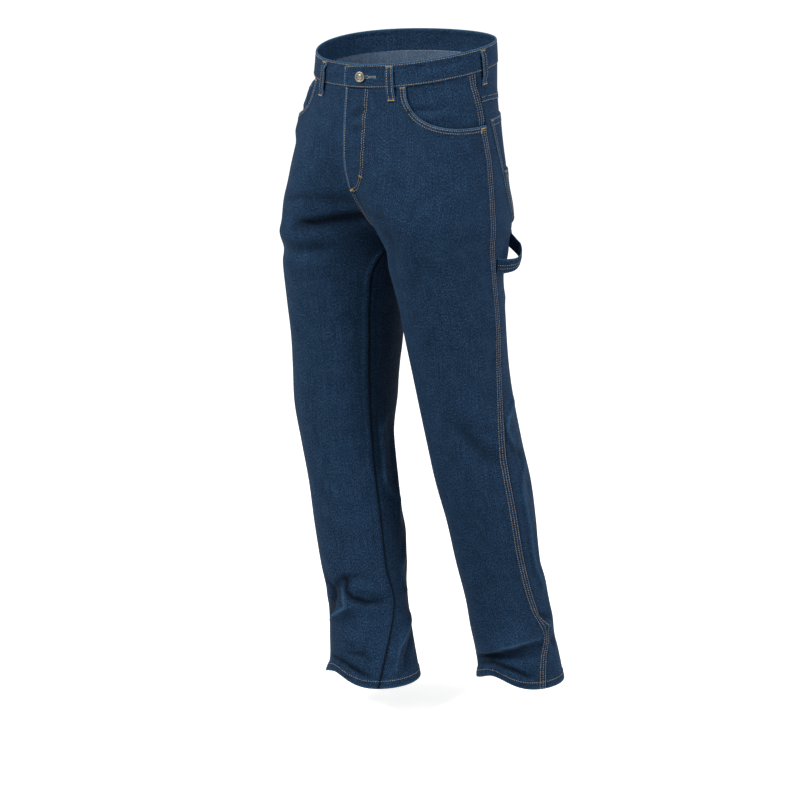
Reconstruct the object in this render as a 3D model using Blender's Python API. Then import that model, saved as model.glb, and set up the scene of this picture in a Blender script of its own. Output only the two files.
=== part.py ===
"""Carpenter pants in indigo denim, kept in the hollow form of a standing wearer.

Row frame: metres, +Z up. The pants face -Y and their left leg is on +X.
The origin is the middle of the waist opening, level with the lower part of the waistband.

The cloth is one skin: a loft of rounded sections down each leg, read from two short tables.
Every panel, pocket and loop is a grid of points on that skin, moved out or in by its layer.
A place on the skin is (side, height, angle): the angle is in degrees round the leg, 0 at the
front, 90 at the outer side and 180 at the back. Heights are nominal, and sag() turns them into
the worn heights, because the waist is lower in front and the hems are lower at the back.
"""

import math

import bmesh
import bpy
import numpy as np

CLOTH = 0.0015
GAP = 0.0003
LAYER_GAP = 0.0008
STEP = 0.0004

WAISTBAND_HEIGHT = 0.038
WAISTBAND_OUT = 0.0012
WAISTBAND_IN = -0.0016
CROTCH = -0.272
HEM = -1.0385
HEM_BREAK = 0.0185
HEM_BREAK_ANGLE = {"left": 3.0, "right": 14.0}
HEM_DEPTH = 0.013
HEM_RAISE = 0.0008
CROTCH_ROUND = 0.018

# The worn sections of each leg, with x counted outward from the middle plane.
# inner and outer are the section's least and largest x, front and back its least and largest y,
# inseam and outseam the angles of the two seams. Above the crotch the section is cut off at the
# middle plane, so inner is only where it would reach, and it is the same on both sides there.
COLUMNS = ("height", "inner", "outer", "front", "back", "inseam", "outseam")
FORMS = {
    "left": (
        (0.050, -0.162, 0.162, -0.130, 0.132, -90, 88),
        (0.000, -0.165, 0.165, -0.133, 0.135, -90, 88),
        (-0.050, -0.155, 0.171, -0.137, 0.130, -90, 94),
        (-0.100, -0.130, 0.177, -0.140, 0.131, -90, 98.5),
        (-0.141, -0.094, 0.182, -0.141, 0.131, -90, 101.5),
        (-0.184, -0.059, 0.187, -0.137, 0.128, -90, 101.5),
        (-0.210, -0.028, 0.190, -0.133, 0.127, -90, 100.5),
        (-0.2335, -0.009, 0.191, -0.127, 0.126, -90, 100),
        (-0.2525, 0.005, 0.190, -0.121, 0.122, -90, 100.5),
        (-0.272, 0.018, 0.188, -0.115, 0.112, -90, 102.5),
        (-0.320, 0.021, 0.184, -0.100, 0.101, -82, 109),
        (-0.404, 0.021, 0.184, -0.078, 0.105, -76, 108.5),
        (-0.500, 0.029, 0.186, -0.057, 0.112, -82, 100.5),
        (-0.613, 0.041, 0.197, -0.036, 0.130, -92, 86),
        (-0.683, 0.049, 0.205, -0.023, 0.145, -97, 82.5),
        (-0.754, 0.060, 0.209, -0.004, 0.152, -97, 82.5),
        (-0.826, 0.069, 0.210, 0.012, 0.158, -95, 86.5),
        (-0.899, 0.078, 0.216, 0.030, 0.167, -91, 93.5),
        (-0.945, 0.082, 0.223, 0.036, 0.177, -86, 105),
        (-0.985, 0.086, 0.229, 0.043, 0.187, -93, 89),
        (-1.050, 0.091, 0.237, 0.052, 0.199, -102, 76),
    ),
    "right": (
        (0.050, -0.162, 0.162, -0.130, 0.132, -90, 88),
        (0.000, -0.165, 0.166, -0.135, 0.135, -90, 88),
        (-0.050, -0.155, 0.177, -0.145, 0.135, -90, 88),
        (-0.100, -0.130, 0.187, -0.155, 0.133, -90, 88),
        (-0.141, -0.094, 0.192, -0.160, 0.130, -90, 88),
        (-0.184, -0.059, 0.197, -0.162, 0.121, -90, 88),
        (-0.210, -0.028, 0.199, -0.163, 0.115, -90, 87),
        (-0.2335, -0.009, 0.200, -0.162, 0.110, -90, 87),
        (-0.2525, 0.005, 0.200, -0.160, 0.104, -90, 86),
        (-0.272, 0.018, 0.199, -0.158, 0.097, -90, 86),
        (-0.320, 0.022, 0.198, -0.155, 0.089, -76, 86),
        (-0.380, 0.018, 0.191, -0.151, 0.078, -75.5, 87),
        (-0.450, 0.013, 0.185, -0.144, 0.060, -75, 88),
        (-0.500, 0.013, 0.183, -0.141, 0.048, -76, 90),
        (-0.564, 0.014, 0.180, -0.139, 0.042, -78.5, 93),
        (-0.633, 0.011, 0.165, -0.133, 0.033, -80, 97),
        (-0.701, 0.000, 0.150, -0.129, 0.031, -78.7, 99),
        (-0.770, -0.011, 0.139, -0.127, 0.029, -79, 99),
        (-0.840, -0.018, 0.124, -0.124, 0.024, -82, 97),
        (-0.915, -0.028, 0.108, -0.119, 0.022, -89, 94),
        (-0.979, -0.042, 0.102, -0.124, 0.024, -66.5, 106),
        (-1.050, -0.059, 0.097, -0.131, 0.029, -47, 118),
    ),
}
SIGN = {"left": 1.0, "right": -1.0}
# How far the centre front lies behind the mean of both legs' fronts, by height.
FRONT_DIP = (
    (0.050, 0.0030),
    (0.000, 0.0040),
    (-0.050, 0.0065),
    (-0.100, 0.0105),
    (-0.150, 0.0135),
    (-0.190, 0.0165),
    (-0.225, 0.0145),
    (-0.2525, 0.0095),
    (-0.272, 0.0000),
)

# Soft ridges and troughs in the worn cloth: each runs between two places on the skin, fades to
# nothing at its ends, and has a half width and a lift, which is negative for a trough.
CREASE_COLUMNS = ("side", "angle_a", "height_a", "angle_b", "height_b", "half_width", "lift")
CREASES = (
    ("right", -40, -0.262, 30, -0.222, 0.009, -0.006),
    ("right", -45, -0.290, 45, -0.300, 0.012, -0.006),
    ("right", -30, -0.275, 40, -0.262, 0.014, 0.005),
    ("right", 60, -0.880, -30, -0.905, 0.016, 0.006),
    ("right", 45, -0.925, -70, -0.925, 0.011, -0.008),
    ("right", 30, -0.955, -50, -0.965, 0.018, 0.005),
    ("right", -120, -0.600, -112, -0.780, 0.010, 0.005),
    ("right", -140, -0.560, -150, -0.760, 0.014, -0.005),
    ("left", -40, -0.995, 62, -0.955, 0.014, 0.007),
    ("left", -45, -1.012, 75, -0.975, 0.009, -0.006),
    ("left", 105, -0.560, 135, -0.640, 0.012, 0.005),
    ("left", 100, -0.640, 130, -0.730, 0.012, -0.005),
    ("left", 115, -0.720, 125, -0.880, 0.012, 0.005),
    ("left", 95, -0.930, 150, -0.900, 0.012, 0.006),
    ("left", 105, -0.352, 165, -0.335, 0.014, -0.006),
    ("left", -60, -0.300, 10, -0.240, 0.016, -0.003),
)


def smooth_step(low, high, value):
    """0 at low, 1 at high, and a smooth rise between. low may be above high."""
    share = np.clip((np.asarray(value, float) - low) / (high - low), 0.0, 1.0)
    return share * share * (3.0 - 2.0 * share)


def read_curve(places, values, at):
    """Cubic through the given points that keeps their rises and falls, read at any places."""
    places, values = np.asarray(places, float), np.asarray(values, float)
    if places[0] > places[-1]:
        places, values = places[::-1], values[::-1]
    steps = np.diff(places)
    slopes = np.diff(values) / steps
    tangents = np.concatenate(([slopes[0]], (slopes[:-1] + slopes[1:]) / 2, [slopes[-1]]))
    tangents[1:-1][slopes[:-1] * slopes[1:] <= 0] = 0.0
    at = np.clip(np.asarray(at, float), places[0], places[-1])
    cell = np.clip(np.searchsorted(places, at, side="right") - 1, 0, len(steps) - 1)
    step = steps[cell]
    share = (at - places[cell]) / step
    rest = 1.0 - share
    return (
        values[cell] * rest * rest * (1 + 2 * share)
        + values[cell + 1] * share * share * (3 - 2 * share)
        + tangents[cell] * step * share * rest * rest
        - tangents[cell + 1] * step * share * share * rest
    )


def form(side, column, height):
    rows = np.array(FORMS[side], float)
    return read_curve(rows[:, 0], rows[:, COLUMNS.index(column)], height)


def crotch_round(height):
    """How far the two legs' sections are run together at the middle plane."""
    above = smooth_step(-0.010, -0.140, height)
    below = smooth_step(-0.450, -0.300, height)
    return CROTCH_ROUND * above * below


def section(side, height):
    """Middle x, half width, middle y and half depth of one leg's section."""
    inner, outer = form(side, "inner", height), form(side, "outer", height)
    front, back = form(side, "front", height), form(side, "back", height)
    return (inner + outer) / 2, (outer - inner) / 2, (front + back) / 2, (back - front) / 2


def angle_at(side, height, distance):
    """Angle of the front point that lies this far from the middle plane."""
    middle_x, half_x, _, _ = section(side, height)
    raw = np.sqrt(np.square(distance) + np.square(crotch_round(height)))
    return np.degrees(np.arcsin(np.clip((raw - middle_x) / half_x, -1.0, 1.0)))


def rise_angle(side, height):
    """Angle of the centre front seam above the crotch, and of the inseam below it."""
    seam = angle_at(side, np.maximum(height, CROTCH), 0.0)
    return np.where(height >= CROTCH, seam, form(side, "inseam", height))


def seam_depth(side, height, facing):
    """y of the centre seam, in front (facing -1) or at the back (facing 1)."""
    _, _, middle_y, half_y = section(side, height)
    return middle_y + facing * half_y * np.cos(np.radians(rise_angle(side, height)))


def seam_shift(side, height, facing):
    """What brings this side's centre seam to the one that both sides share."""
    level = np.maximum(height, CROTCH)
    aim = (seam_depth("left", level, facing) + seam_depth("right", level, facing)) / 2
    if facing < 0:
        aim = aim + read_curve(*zip(*FRONT_DIP), level)
    return (aim - seam_depth(side, level, facing)) * smooth_step(-0.400, CROTCH, height)


def sag(side, height, y, angle):
    """How far the worn cloth lies above its nominal height: the hems break up in front."""
    forward = np.clip(-y / 0.135, -1.1, 1.1)
    waist = (0.0115 - 0.020 * forward - 0.0065 * forward**2) * smooth_step(-0.170, 0.0, height)
    from_break = 1.0 - np.cos(np.radians(angle - HEM_BREAK_ANGLE[side]))
    hem = HEM_BREAK * np.exp(-6.5 * from_break) * smooth_step(-0.900, HEM, height)
    return waist + hem


def bare_skin(side, height, angle):
    """Point on the outer face of the cloth, before its creases."""
    height, angle = np.broadcast_arrays(np.asarray(height, float), np.asarray(angle, float))
    middle_x, half_x, middle_y, half_y = section(side, height)
    turn = np.radians(angle)
    raw = middle_x + half_x * np.sin(turn)
    round_off = crotch_round(height)
    x = np.sign(raw - round_off) * np.sqrt(np.abs(raw**2 - round_off**2))
    y = middle_y - half_y * np.cos(turn)
    shift = np.where(
        np.cos(turn) > 0, seam_shift(side, height, -1), seam_shift(side, height, 1)
    )
    y = y + shift * np.exp(-((x / 0.055) ** 2))
    z = height + sag(side, height, y, angle)
    return np.stack([SIGN[side] * (x + GAP / 2), y, z], axis=-1)


def crease_lift(side, height, angle):
    """How far the creases move this place outward."""
    lift = np.zeros(np.broadcast(height, angle).shape)
    radius = section(side, height)[1]
    for row in CREASES:
        crease = dict(zip(CREASE_COLUMNS, row))
        if crease["side"] != side:
            continue
        turn = np.radians(angle)
        turn_a, turn_b = math.radians(crease["angle_a"]), math.radians(crease["angle_b"])
        run = (turn_b - turn_a) * radius
        rise = crease["height_b"] - crease["height_a"]
        from_middle = np.mod(turn - (turn_a + turn_b) / 2 + math.pi, 2 * math.pi) - math.pi
        across = from_middle * radius + run / 2
        up = height - crease["height_a"]
        length = np.sqrt(run**2 + rise**2)
        along = (across * run + up * rise) / length**2
        aside = (across * -rise + up * run) / length
        fade = smooth_step(-0.12, 0.3, along) * smooth_step(1.12, 0.7, along)
        lift = lift + crease["lift"] * fade * np.exp(-((aside / crease["half_width"]) ** 2))
    return lift


def skin(side, height, angle, out=0.0):
    """Point at a distance out from the creased outer face of the cloth."""
    height, angle = np.broadcast_arrays(np.asarray(height, float), np.asarray(angle, float))
    turn_step = 0.4
    round_leg = bare_skin(side, height, angle + turn_step) - bare_skin(side, height, angle - turn_step)
    up_leg = bare_skin(side, height + STEP, angle) - bare_skin(side, height - STEP, angle)
    normal = SIGN[side] * np.cross(round_leg, up_leg)
    normal /= np.linalg.norm(normal, axis=-1, keepdims=True)
    far = np.asarray(out, float) + crease_lift(side, height, angle)
    return bare_skin(side, height, angle) + normal * np.broadcast_to(far, height.shape)[..., None]


MATERIALS = {
    "denim": ((0.014, 0.033, 0.070), 0.85, 0.0),
    "metal": ((0.30, 0.27, 0.24), 0.35, 1.0),
}


def material(name):
    found = bpy.data.materials.get(name)
    if found:
        return found
    colour, roughness, metallic = MATERIALS[name]
    made = bpy.data.materials.new(name)
    made.use_nodes = True
    shader = made.node_tree.nodes["Principled BSDF"]
    shader.inputs["Base Color"].default_value = (*colour, 1.0)
    shader.inputs["Roughness"].default_value = roughness
    shader.inputs["Metallic"].default_value = metallic
    return made


def add_object(name, mesh, material_name):
    mesh.materials.append(material(material_name))
    made = bpy.data.objects.new(name, mesh)
    bpy.context.scene.collection.objects.link(made)
    return made


def wall(name, outer, inner, material_name="denim"):
    """Closed sheet of cloth between two grids of points of the same shape."""
    rows, columns = outer.shape[:2]
    count = rows * columns
    points = np.concatenate([outer.reshape(-1, 3), inner.reshape(-1, 3)])

    def at(row, column, layer):
        return layer * count + row * columns + column

    faces = []
    for row in range(rows - 1):
        for column in range(columns - 1):
            a, b = at(row, column, 0), at(row, column + 1, 0)
            c, d = at(row + 1, column + 1, 0), at(row + 1, column, 0)
            faces += [[a, b, c], [a, c, d]]
            faces += [[c + count, b + count, a + count], [d + count, c + count, a + count]]
    rim = [(0, column) for column in range(columns - 1)]
    rim += [(row, columns - 1) for row in range(rows - 1)]
    rim += [(rows - 1, column) for column in range(columns - 1, 0, -1)]
    rim += [(row, 0) for row in range(rows - 1, 0, -1)]
    for place, after in zip(rim, rim[1:] + rim[:1]):
        faces.append([at(*after, 0), at(*place, 0), at(*place, 1), at(*after, 1)])
    mesh = bpy.data.meshes.new(name)
    mesh.from_pydata([tuple(point) for point in points], [], faces)
    turn_outward(mesh)
    mesh.shade_smooth()
    mesh.set_sharp_from_angle(angle=math.radians(40))
    return add_object(name, mesh, material_name)


def turn_outward(mesh):
    shape = bmesh.new()
    shape.from_mesh(mesh)
    if shape.calc_volume(signed=True) < 0:
        bmesh.ops.reverse_faces(shape, faces=shape.faces)
    shape.to_mesh(mesh)
    shape.free()


# Front and back panels.
# A column is a share of the way round from the centre seam or inseam to the outseam. Rows are
# even down the centre seam's own curve on one edge, and even in height at the outseam.
SCOOP_START = {"left": 0.452, "right": 0.42}
SCOOP_DEPTH = 0.088
SCOOP_POWER = 2.9
YOKE_SIDE, YOKE_BACK = 0.047, 0.072
ROWS_ABOVE, ROWS_BELOW, ROWS_BESIDE_POCKET = 12, 24, 3
LEG_RADIUS = 0.075
SEAM_RIDGE = 0.0009


def panel_angle(side, height, share, back):
    """Angle of a place that is a share of the way from the centre seam to the outseam."""
    centre = rise_angle(side, height)
    outseam = form(side, "outseam", height)
    edge = math.degrees(GAP / 2 / LEG_RADIUS)
    lean = np.where(height <= CROTCH, edge, 0.0)
    if back:
        start = np.where(height > CROTCH, 180.0 - centre, 360.0 + centre) - lean
        return start + (outseam + edge - start) * share
    start = centre + lean
    return start + (outseam - edge - start) * share


def scoop_drop(side, share):
    """Depth of the front pocket's mouth below the waist seam."""
    start = SCOOP_START[side]
    along = np.clip((share - start) / (1.0 - start), 0.0, 1.0)
    return SCOOP_DEPTH * (1.0 - (1.0 - along) ** SCOOP_POWER) ** (1.0 / SCOOP_POWER)


def yoke_drop(share):
    """Depth of the yoke seam below the waist seam, from the centre back to the side."""
    return YOKE_BACK + (YOKE_SIDE - YOKE_BACK) * smooth_step(0.0, 1.0, share) ** 0.8


def even_heights(top, count, back):
    """Heights at even distances along the centre seam, from top down to the crotch."""
    heights = np.linspace(top, CROTCH, 400)
    y = seam_depth("left", heights, 1 if back else -1)
    run = np.concatenate([[0], np.cumsum(np.hypot(np.diff(heights), np.diff(y)))])
    return np.interp(np.linspace(0, run[-1], count + 1), run, heights)


def panel_heights(side, shares, back):
    """Height of each grid point, as rows and columns. Both panels share the outseam's rows."""
    top = -yoke_drop(shares) if back else -scoop_drop(side, shares)
    top = top - GAP / 2
    beside = -SCOOP_DEPTH - GAP / 2
    outer = np.linspace(beside, CROTCH, ROWS_ABOVE + 1)
    if back:
        outer = np.concatenate([np.linspace(top[-1], beside, ROWS_BESIDE_POCKET + 1)[:-1], outer])
    centre = even_heights(float(top[0]), len(outer) - 1, back)
    centre_part = (top[0] - centre) / (top[0] - CROTCH)
    outer_part = (top[-1] - outer) / (top[-1] - CROTCH)
    blend = (1.0 - shares) ** 2
    part = outer_part[:, None] + (centre_part - outer_part)[:, None] * blend[None, :]
    above = top[None, :] + (CROTCH - top[None, :]) * part
    hem_top = HEM + HEM_DEPTH
    below = np.linspace(CROTCH, hem_top + 0.001, ROWS_BELOW + 1)[1:]
    below = np.concatenate([below, [hem_top, HEM]])
    return np.concatenate([above, np.repeat(below[:, None], len(shares), axis=1)])


def front_shares(side):
    """Columns of a front panel: close together at the fly's edge and where the pocket drops."""
    start = SCOOP_START[side]
    before = np.linspace(0.0, start, 7)[:-1]
    before = np.insert(before, 1, 0.02)
    along = np.array([0.0, 0.004, 0.03, 0.09, 0.2, 0.36, 0.56, 0.76, 0.885, 0.895, 1.0])
    return np.concatenate([before, start + (1.0 - start) * along])


WATCH_POCKET_THICK = 0.0011
FACING_GAP = LAYER_GAP + 0.0004
FACING_DEPTH = {
    "left": CLOTH + FACING_GAP,
    "right": CLOTH + FACING_GAP + WATCH_POCKET_THICK + LAYER_GAP,
}


def hem_lift(height):
    return HEM_RAISE * (height <= HEM + HEM_DEPTH + 0.0001)


def make_front(side):
    shares = front_shares(side)
    heights = panel_heights(side, shares, back=False)
    angles = panel_angle(side, heights, shares[None, :], back=False)
    ridge = SEAM_RIDGE * (shares >= shares[-2] - 1e-9)
    raised = np.maximum(hem_lift(heights), np.broadcast_to(ridge, heights.shape))
    outer, inner = skin(side, heights, angles, raised), skin(side, heights, angles, -CLOTH)
    if side == "left":
        lap_fly_edge(heights, angles, outer, inner)
    wall("front_" + side, outer, inner)


def lap_fly_edge(heights, angles, outer, inner):
    """Lift the left front's edge and carry it over the right front, down to the fly's foot."""
    lift = CLOTH + LAYER_GAP
    lapped = np.flatnonzero(heights[:, 0] > -FLY_LENGTH)
    for row in lapped:
        height = heights[row, 0]
        outer[row, :2] = skin("left", heights[row, :2], angles[row, :2], lift)
        inner[row, :2] = skin("left", heights[row, :2], angles[row, :2], lift - CLOTH)
        if row < lapped[-1]:
            over = angle_at("right", height, FLY_OVER)
            outer[row, 0] = skin("right", height, over, lift)
            inner[row, 0] = skin("right", height, over, lift - CLOTH)


def make_back(side):
    shares = np.linspace(0.0, 1.0, 16)
    heights = panel_heights(side, shares, back=True)
    angles = panel_angle(side, heights, shares[None, :], back=True)
    outer = skin(side, heights, angles, hem_lift(heights))
    wall("back_" + side, outer, skin(side, heights, angles, -CLOTH))


def make_yoke(side):
    shares = np.linspace(0.0, 1.0, 12)
    parts = np.linspace(0.0, 1.0, 4)[:, None]
    depth = yoke_drop(shares)[None, :] - GAP
    heights = -GAP / 2 - parts * depth
    angles = panel_angle(side, heights, shares[None, :], back=True)
    wall("yoke_" + side, skin(side, heights, angles), skin(side, heights, angles, -CLOTH))


def make_pocket_facing(side):
    """The cloth seen inside the front pocket's mouth, one layer under the front panel."""
    under = 0.018
    start = SCOOP_START[side] - 0.07
    shares = np.linspace(start, 1.0, 12)
    parts = np.linspace(0.0, 1.0, 7)[:, None]
    bottom = scoop_drop(side, np.maximum(shares, SCOOP_START[side] + 0.12)) + under
    heights = -GAP / 2 - parts * bottom[None, :]
    angles = panel_angle(side, heights, shares[None, :], back=False)
    down = -CLOTH - LAYER_GAP + (CLOTH + LAYER_GAP - FACING_DEPTH[side]) * np.minimum(parts * 6, 1.0)
    inner = skin(side, heights, angles, down - CLOTH)
    wall("pocket_facing_" + side, skin(side, heights, angles, down), inner)


# The waistband is one strip that goes once round and under its own left end at the front.
OVERLAP_ANGLE = 10.0
OVERLAP_LIFT = WAISTBAND_OUT - WAISTBAND_IN + GAP


def band_point(height, turn, out):
    """Point on the waist ring: turn counts from the centre front round the left side."""
    turn = np.asarray(turn, float)
    left = skin("left", height, turn, out)
    right = skin("right", height, 360.0 - turn, out)
    over = skin("left", height, turn - 360.0, out)
    chosen = np.where((turn <= 180.0)[..., None], left, right)
    return np.where((turn >= 360.0)[..., None], over, chosen)


def make_waistband():
    turns = np.concatenate([[-1.7, 5, 10, 14, 19], np.linspace(27, 351, 37), [360, 365, 360 + OVERLAP_ANGLE]])
    heights = np.array([GAP / 2, WAISTBAND_HEIGHT / 2, WAISTBAND_HEIGHT])[:, None]
    lift = OVERLAP_LIFT * (1.0 - smooth_step(OVERLAP_ANGLE + 1.0, 20.0, turns))
    lift = np.where(turns > 180, 0.0, lift)
    height_grid, turn_grid = np.broadcast_arrays(heights, turns[None, :])
    outer = band_point(height_grid, turn_grid, WAISTBAND_OUT + lift[None, :])
    inner = band_point(height_grid, turn_grid, WAISTBAND_IN + lift[None, :])
    wall("waistband", outer, inner)


LOOP_WIDTH = 0.0125
LOOP_THICK = 0.0018
LOOP_GAP = 0.0033
# Height of a place on a belt loop, and how far its back face stands off the skin there.
LOOP_PATH = (
    (0.0345, WAISTBAND_OUT + LAYER_GAP),
    (0.0290, WAISTBAND_OUT + LAYER_GAP),
    (0.0265, WAISTBAND_OUT + LOOP_GAP * 0.75),
    (0.0230, WAISTBAND_OUT + LOOP_GAP),
    (0.0110, WAISTBAND_OUT + LOOP_GAP),
    (0.0010, WAISTBAND_OUT + LOOP_GAP),
    (-0.0080, WAISTBAND_OUT + LOOP_GAP * 0.9),
    (-0.0130, LAYER_GAP + 0.0010),
    (-0.0150, LAYER_GAP),
    (-0.0225, LAYER_GAP),
)
LOOP_TURNS = {
    "belt_loop_front_left": 30.5,
    "belt_loop_side_left": 96.0,
    "belt_loop_back": 180.0,
    "belt_loop_side_right": 264.0,
    "belt_loop_front_right": 338.3,
}


def make_belt_loop(name, turn):
    path = np.array(LOOP_PATH)
    around = LOOP_WIDTH / 2 / 0.150 * 57.3
    turns = np.array([turn - around, turn, turn + around])
    height_grid, turn_grid = np.broadcast_arrays(path[:, :1], turns[None, :])
    back = np.repeat(path[:, 1:], 3, axis=1)
    wall(name, band_point(height_grid, turn_grid, back + LOOP_THICK), band_point(height_grid, turn_grid, back))


# The fly facing: inside the left front, held by the curved stitching that shows outside.
FLY_WIDTH = 0.045
FLY_LENGTH = 0.184
FLY_OVER = 0.0025


def fly_width(height):
    """Distance from the centre front to the fly's curved edge."""
    straight = FLY_LENGTH - 0.050
    curve = np.clip((-height - straight) / (FLY_LENGTH - straight), 0.0, 1.0)
    return FLY_WIDTH * np.sqrt(np.maximum(1.0 - curve**2, 0.02))


def make_fly_facing():
    heights = -np.concatenate([np.linspace(GAP, 0.134, 7), [0.150, 0.163, 0.173, 0.180]])[:, None]
    parts = np.linspace(0.0, 1.0, 6)[None, :]
    inset = 0.0006
    distances = inset + (fly_width(heights) - inset) * parts
    heights = np.broadcast_to(heights, distances.shape)
    angles = angle_at("left", heights, distances)
    down = -(CLOTH + LAYER_GAP)
    inner = skin("left", heights, angles, down - CLOTH)
    wall("fly_facing", skin("left", heights, angles, down), inner)


# Patch pockets: a five-sided patch between two slanted sides, with a pointed bottom edge.
POCKET_COLUMNS = ("side", "top", "front_top", "front_low", "rear_top", "rear_low", "corner", "tip")
BACK_POCKETS = {
    "back_pocket_left": ("left", -0.074, 102.5, 131, 160, 185, -0.230, -0.252),
    "back_pocket_right": ("right", -0.074, 102.5, 127, 160, 181, -0.230, -0.252),
}
TOOL_POCKET = ("left", -0.153, 118.5, 131, 172.5, 185, -0.230, -0.252)


def patch_places(row, rows=11, inset=0.0):
    """Heights and angles of a patch pocket's grid."""
    pocket = dict(zip(POCKET_COLUMNS, row))
    across = np.linspace(0.0, 1.0, 11)[None, :]
    down = np.linspace(0.0, 1.0, rows)[:, None]
    point = 1.0 - np.abs(2.0 * across - 1.0)
    bottom = pocket["corner"] + (pocket["tip"] - pocket["corner"]) * point + inset
    heights = pocket["top"] + (bottom - pocket["top"]) * down
    front = pocket["front_top"] + (pocket["front_low"] - pocket["front_top"]) * down
    rear = pocket["rear_top"] + (pocket["rear_low"] - pocket["rear_top"]) * down
    turn_inset = inset / 0.13 * 57.3
    angles = front + turn_inset + (rear - front - 2 * turn_inset) * across
    return pocket["side"], heights, angles


def make_back_pockets():
    for name, row in BACK_POCKETS.items():
        side, heights, angles = patch_places(row)
        wall(name, skin(side, heights, angles, LAYER_GAP + CLOTH), skin(side, heights, angles, LAYER_GAP))
    side, heights, angles = patch_places(TOOL_POCKET, rows=7, inset=0.0015)
    base = 2 * LAYER_GAP + CLOTH
    wall("tool_pocket", skin(side, heights, angles, base + CLOTH), skin(side, heights, angles, base))


def make_watch_pocket():
    """Small patch on the right pocket facing, whose top shows in the pocket's mouth."""
    down = np.linspace(0.0, 1.0, 5)[:, None]
    across = np.linspace(0.0, 1.0, 5)[None, :]
    heights = np.broadcast_to(-0.018 - 0.055 * down, (5, 5))
    angles = np.broadcast_to(46.0 + 26.0 * across, (5, 5))
    base = LAYER_GAP - FACING_DEPTH["right"]
    outer = skin("right", heights, angles, base + WATCH_POCKET_THICK)
    wall("watch_pocket", outer, skin("right", heights, angles, base))


# The hammer loop: a strap from the left outseam out and back up to the seat, under the pocket.
STRAP_WIDTH = 0.0255
STRAP_THICK = 0.0022
STRAP_COLUMNS = ("angle", "height", "out", "lean")
STRAP_PATH = (
    (109.5, -0.306, LAYER_GAP + 0.0002, 0.00),
    (111.5, -0.306, LAYER_GAP + 0.0003, 0.00),
    (114.0, -0.306, 0.0065, 0.02),
    (118.0, -0.305, 0.0140, 0.08),
    (124.0, -0.303, 0.0195, 0.18),
    (130.0, -0.298, 0.0212, 0.32),
    (137.0, -0.290, 0.0205, 0.45),
    (143.0, -0.282, 0.0170, 0.52),
    (147.0, -0.276, 0.0095, 0.56),
    (149.5, -0.272, 0.0030, 0.58),
    (151.0, -0.270, LAYER_GAP + 0.0003, 0.58),
    (154.0, -0.267, LAYER_GAP + 0.0002, 0.58),
)


def strap_places(parts, across):
    """Places of the strap's back face: its width leans back toward its rear end."""
    path = np.array(STRAP_PATH)
    knots = np.linspace(0.0, 1.0, len(path))
    angle, height, out, lean = (read_curve(knots, path[:, k], parts)[:, None] for k in range(4))
    heights = height + across[None, :] * np.cos(lean)
    angles = angle - across[None, :] * np.sin(lean) / 0.115 * 57.3
    return heights, angles, np.broadcast_to(out, heights.shape)


def make_hammer_loop():
    across = np.linspace(-0.5, 0.5, 4) * STRAP_WIDTH
    heights, angles, out = strap_places(np.linspace(0.0, 1.0, 23), across)
    inner = skin("left", heights, angles, out)
    along = np.gradient(inner, axis=0)
    upward = np.gradient(inner, axis=1)
    face = np.cross(along, upward)
    face /= np.linalg.norm(face, axis=-1, keepdims=True)
    wall("hammer_loop", inner + face * STRAP_THICK, inner)


# The shank button: a turned cap on the waistband's left end.
BUTTON_TURN = 11.5
BUTTON_HEIGHT = 0.0175
BUTTON_PROFILE = (
    (0.0045, 0.0000),
    (0.0045, 0.0016),
    (0.0078, 0.0018),
    (0.0086, 0.0026),
    (0.0084, 0.0040),
    (0.0074, 0.0047),
    (0.0062, 0.0044),
    (0.0030, 0.0047),
)


def make_button():
    lift = OVERLAP_LIFT * (1.0 - float(smooth_step(OVERLAP_ANGLE + 1.0, 20.0, BUTTON_TURN)))
    low = band_point(BUTTON_HEIGHT, BUTTON_TURN, WAISTBAND_OUT + lift + 0.0006)
    high = band_point(BUTTON_HEIGHT, BUTTON_TURN, WAISTBAND_OUT + lift + 0.0106)
    axis = (high - low) / np.linalg.norm(high - low)
    side_way = np.cross(axis, [0.0, 0.0, 1.0])
    side_way /= np.linalg.norm(side_way)
    up_way = np.cross(side_way, axis)
    turns = np.linspace(0.0, 2 * math.pi, 25)[:-1]
    points, faces = [], []
    for radius, rise in BUTTON_PROFILE:
        for turn in turns:
            spot = low + axis * rise + radius * (side_way * math.cos(turn) + up_way * math.sin(turn))
            points.append(tuple(spot))
    count = len(turns)
    for ring in range(len(BUTTON_PROFILE) - 1):
        for step in range(count):
            after = (step + 1) % count
            faces.append([ring * count + step, ring * count + after,
                          (ring + 1) * count + after, (ring + 1) * count + step])
    faces.append(list(reversed(range(count))))
    faces.append([(len(BUTTON_PROFILE) - 1) * count + step for step in range(count)])
    mesh = bpy.data.meshes.new("button")
    mesh.from_pydata(points, [], faces)
    turn_outward(mesh)
    mesh.shade_smooth()
    mesh.set_sharp_from_angle(angle=math.radians(35))
    add_object("button", mesh, "metal")


def clear_scene():
    for found in list(bpy.data.objects):
        bpy.data.objects.remove(found)


def main():
    clear_scene()
    for side in ("left", "right"):
        make_front(side)
        make_back(side)
        make_yoke(side)
        make_pocket_facing(side)
    make_waistband()
    for name, turn in LOOP_TURNS.items():
        make_belt_loop(name, turn)
    make_fly_facing()
    make_back_pockets()
    make_watch_pocket()
    make_hammer_loop()
    make_button()


if __name__ == "__main__":
    main()
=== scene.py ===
# %% [markdown]
# # Carpenter pants in indigo denim
# The real object is a pair of work trousers: heavy indigo denim, cut flat, sewn with tan thread
# and creased by wear. Its plain solids come from the frame. This file dresses them: each cut piece
# is made again as a thin shell of cloth on the same form, with its creases, and then the sewing,
# the buttonhole and the button are added.

# %% Load the frame
import math

import bpy
import numpy as np
from mathutils import Matrix, Vector


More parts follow.
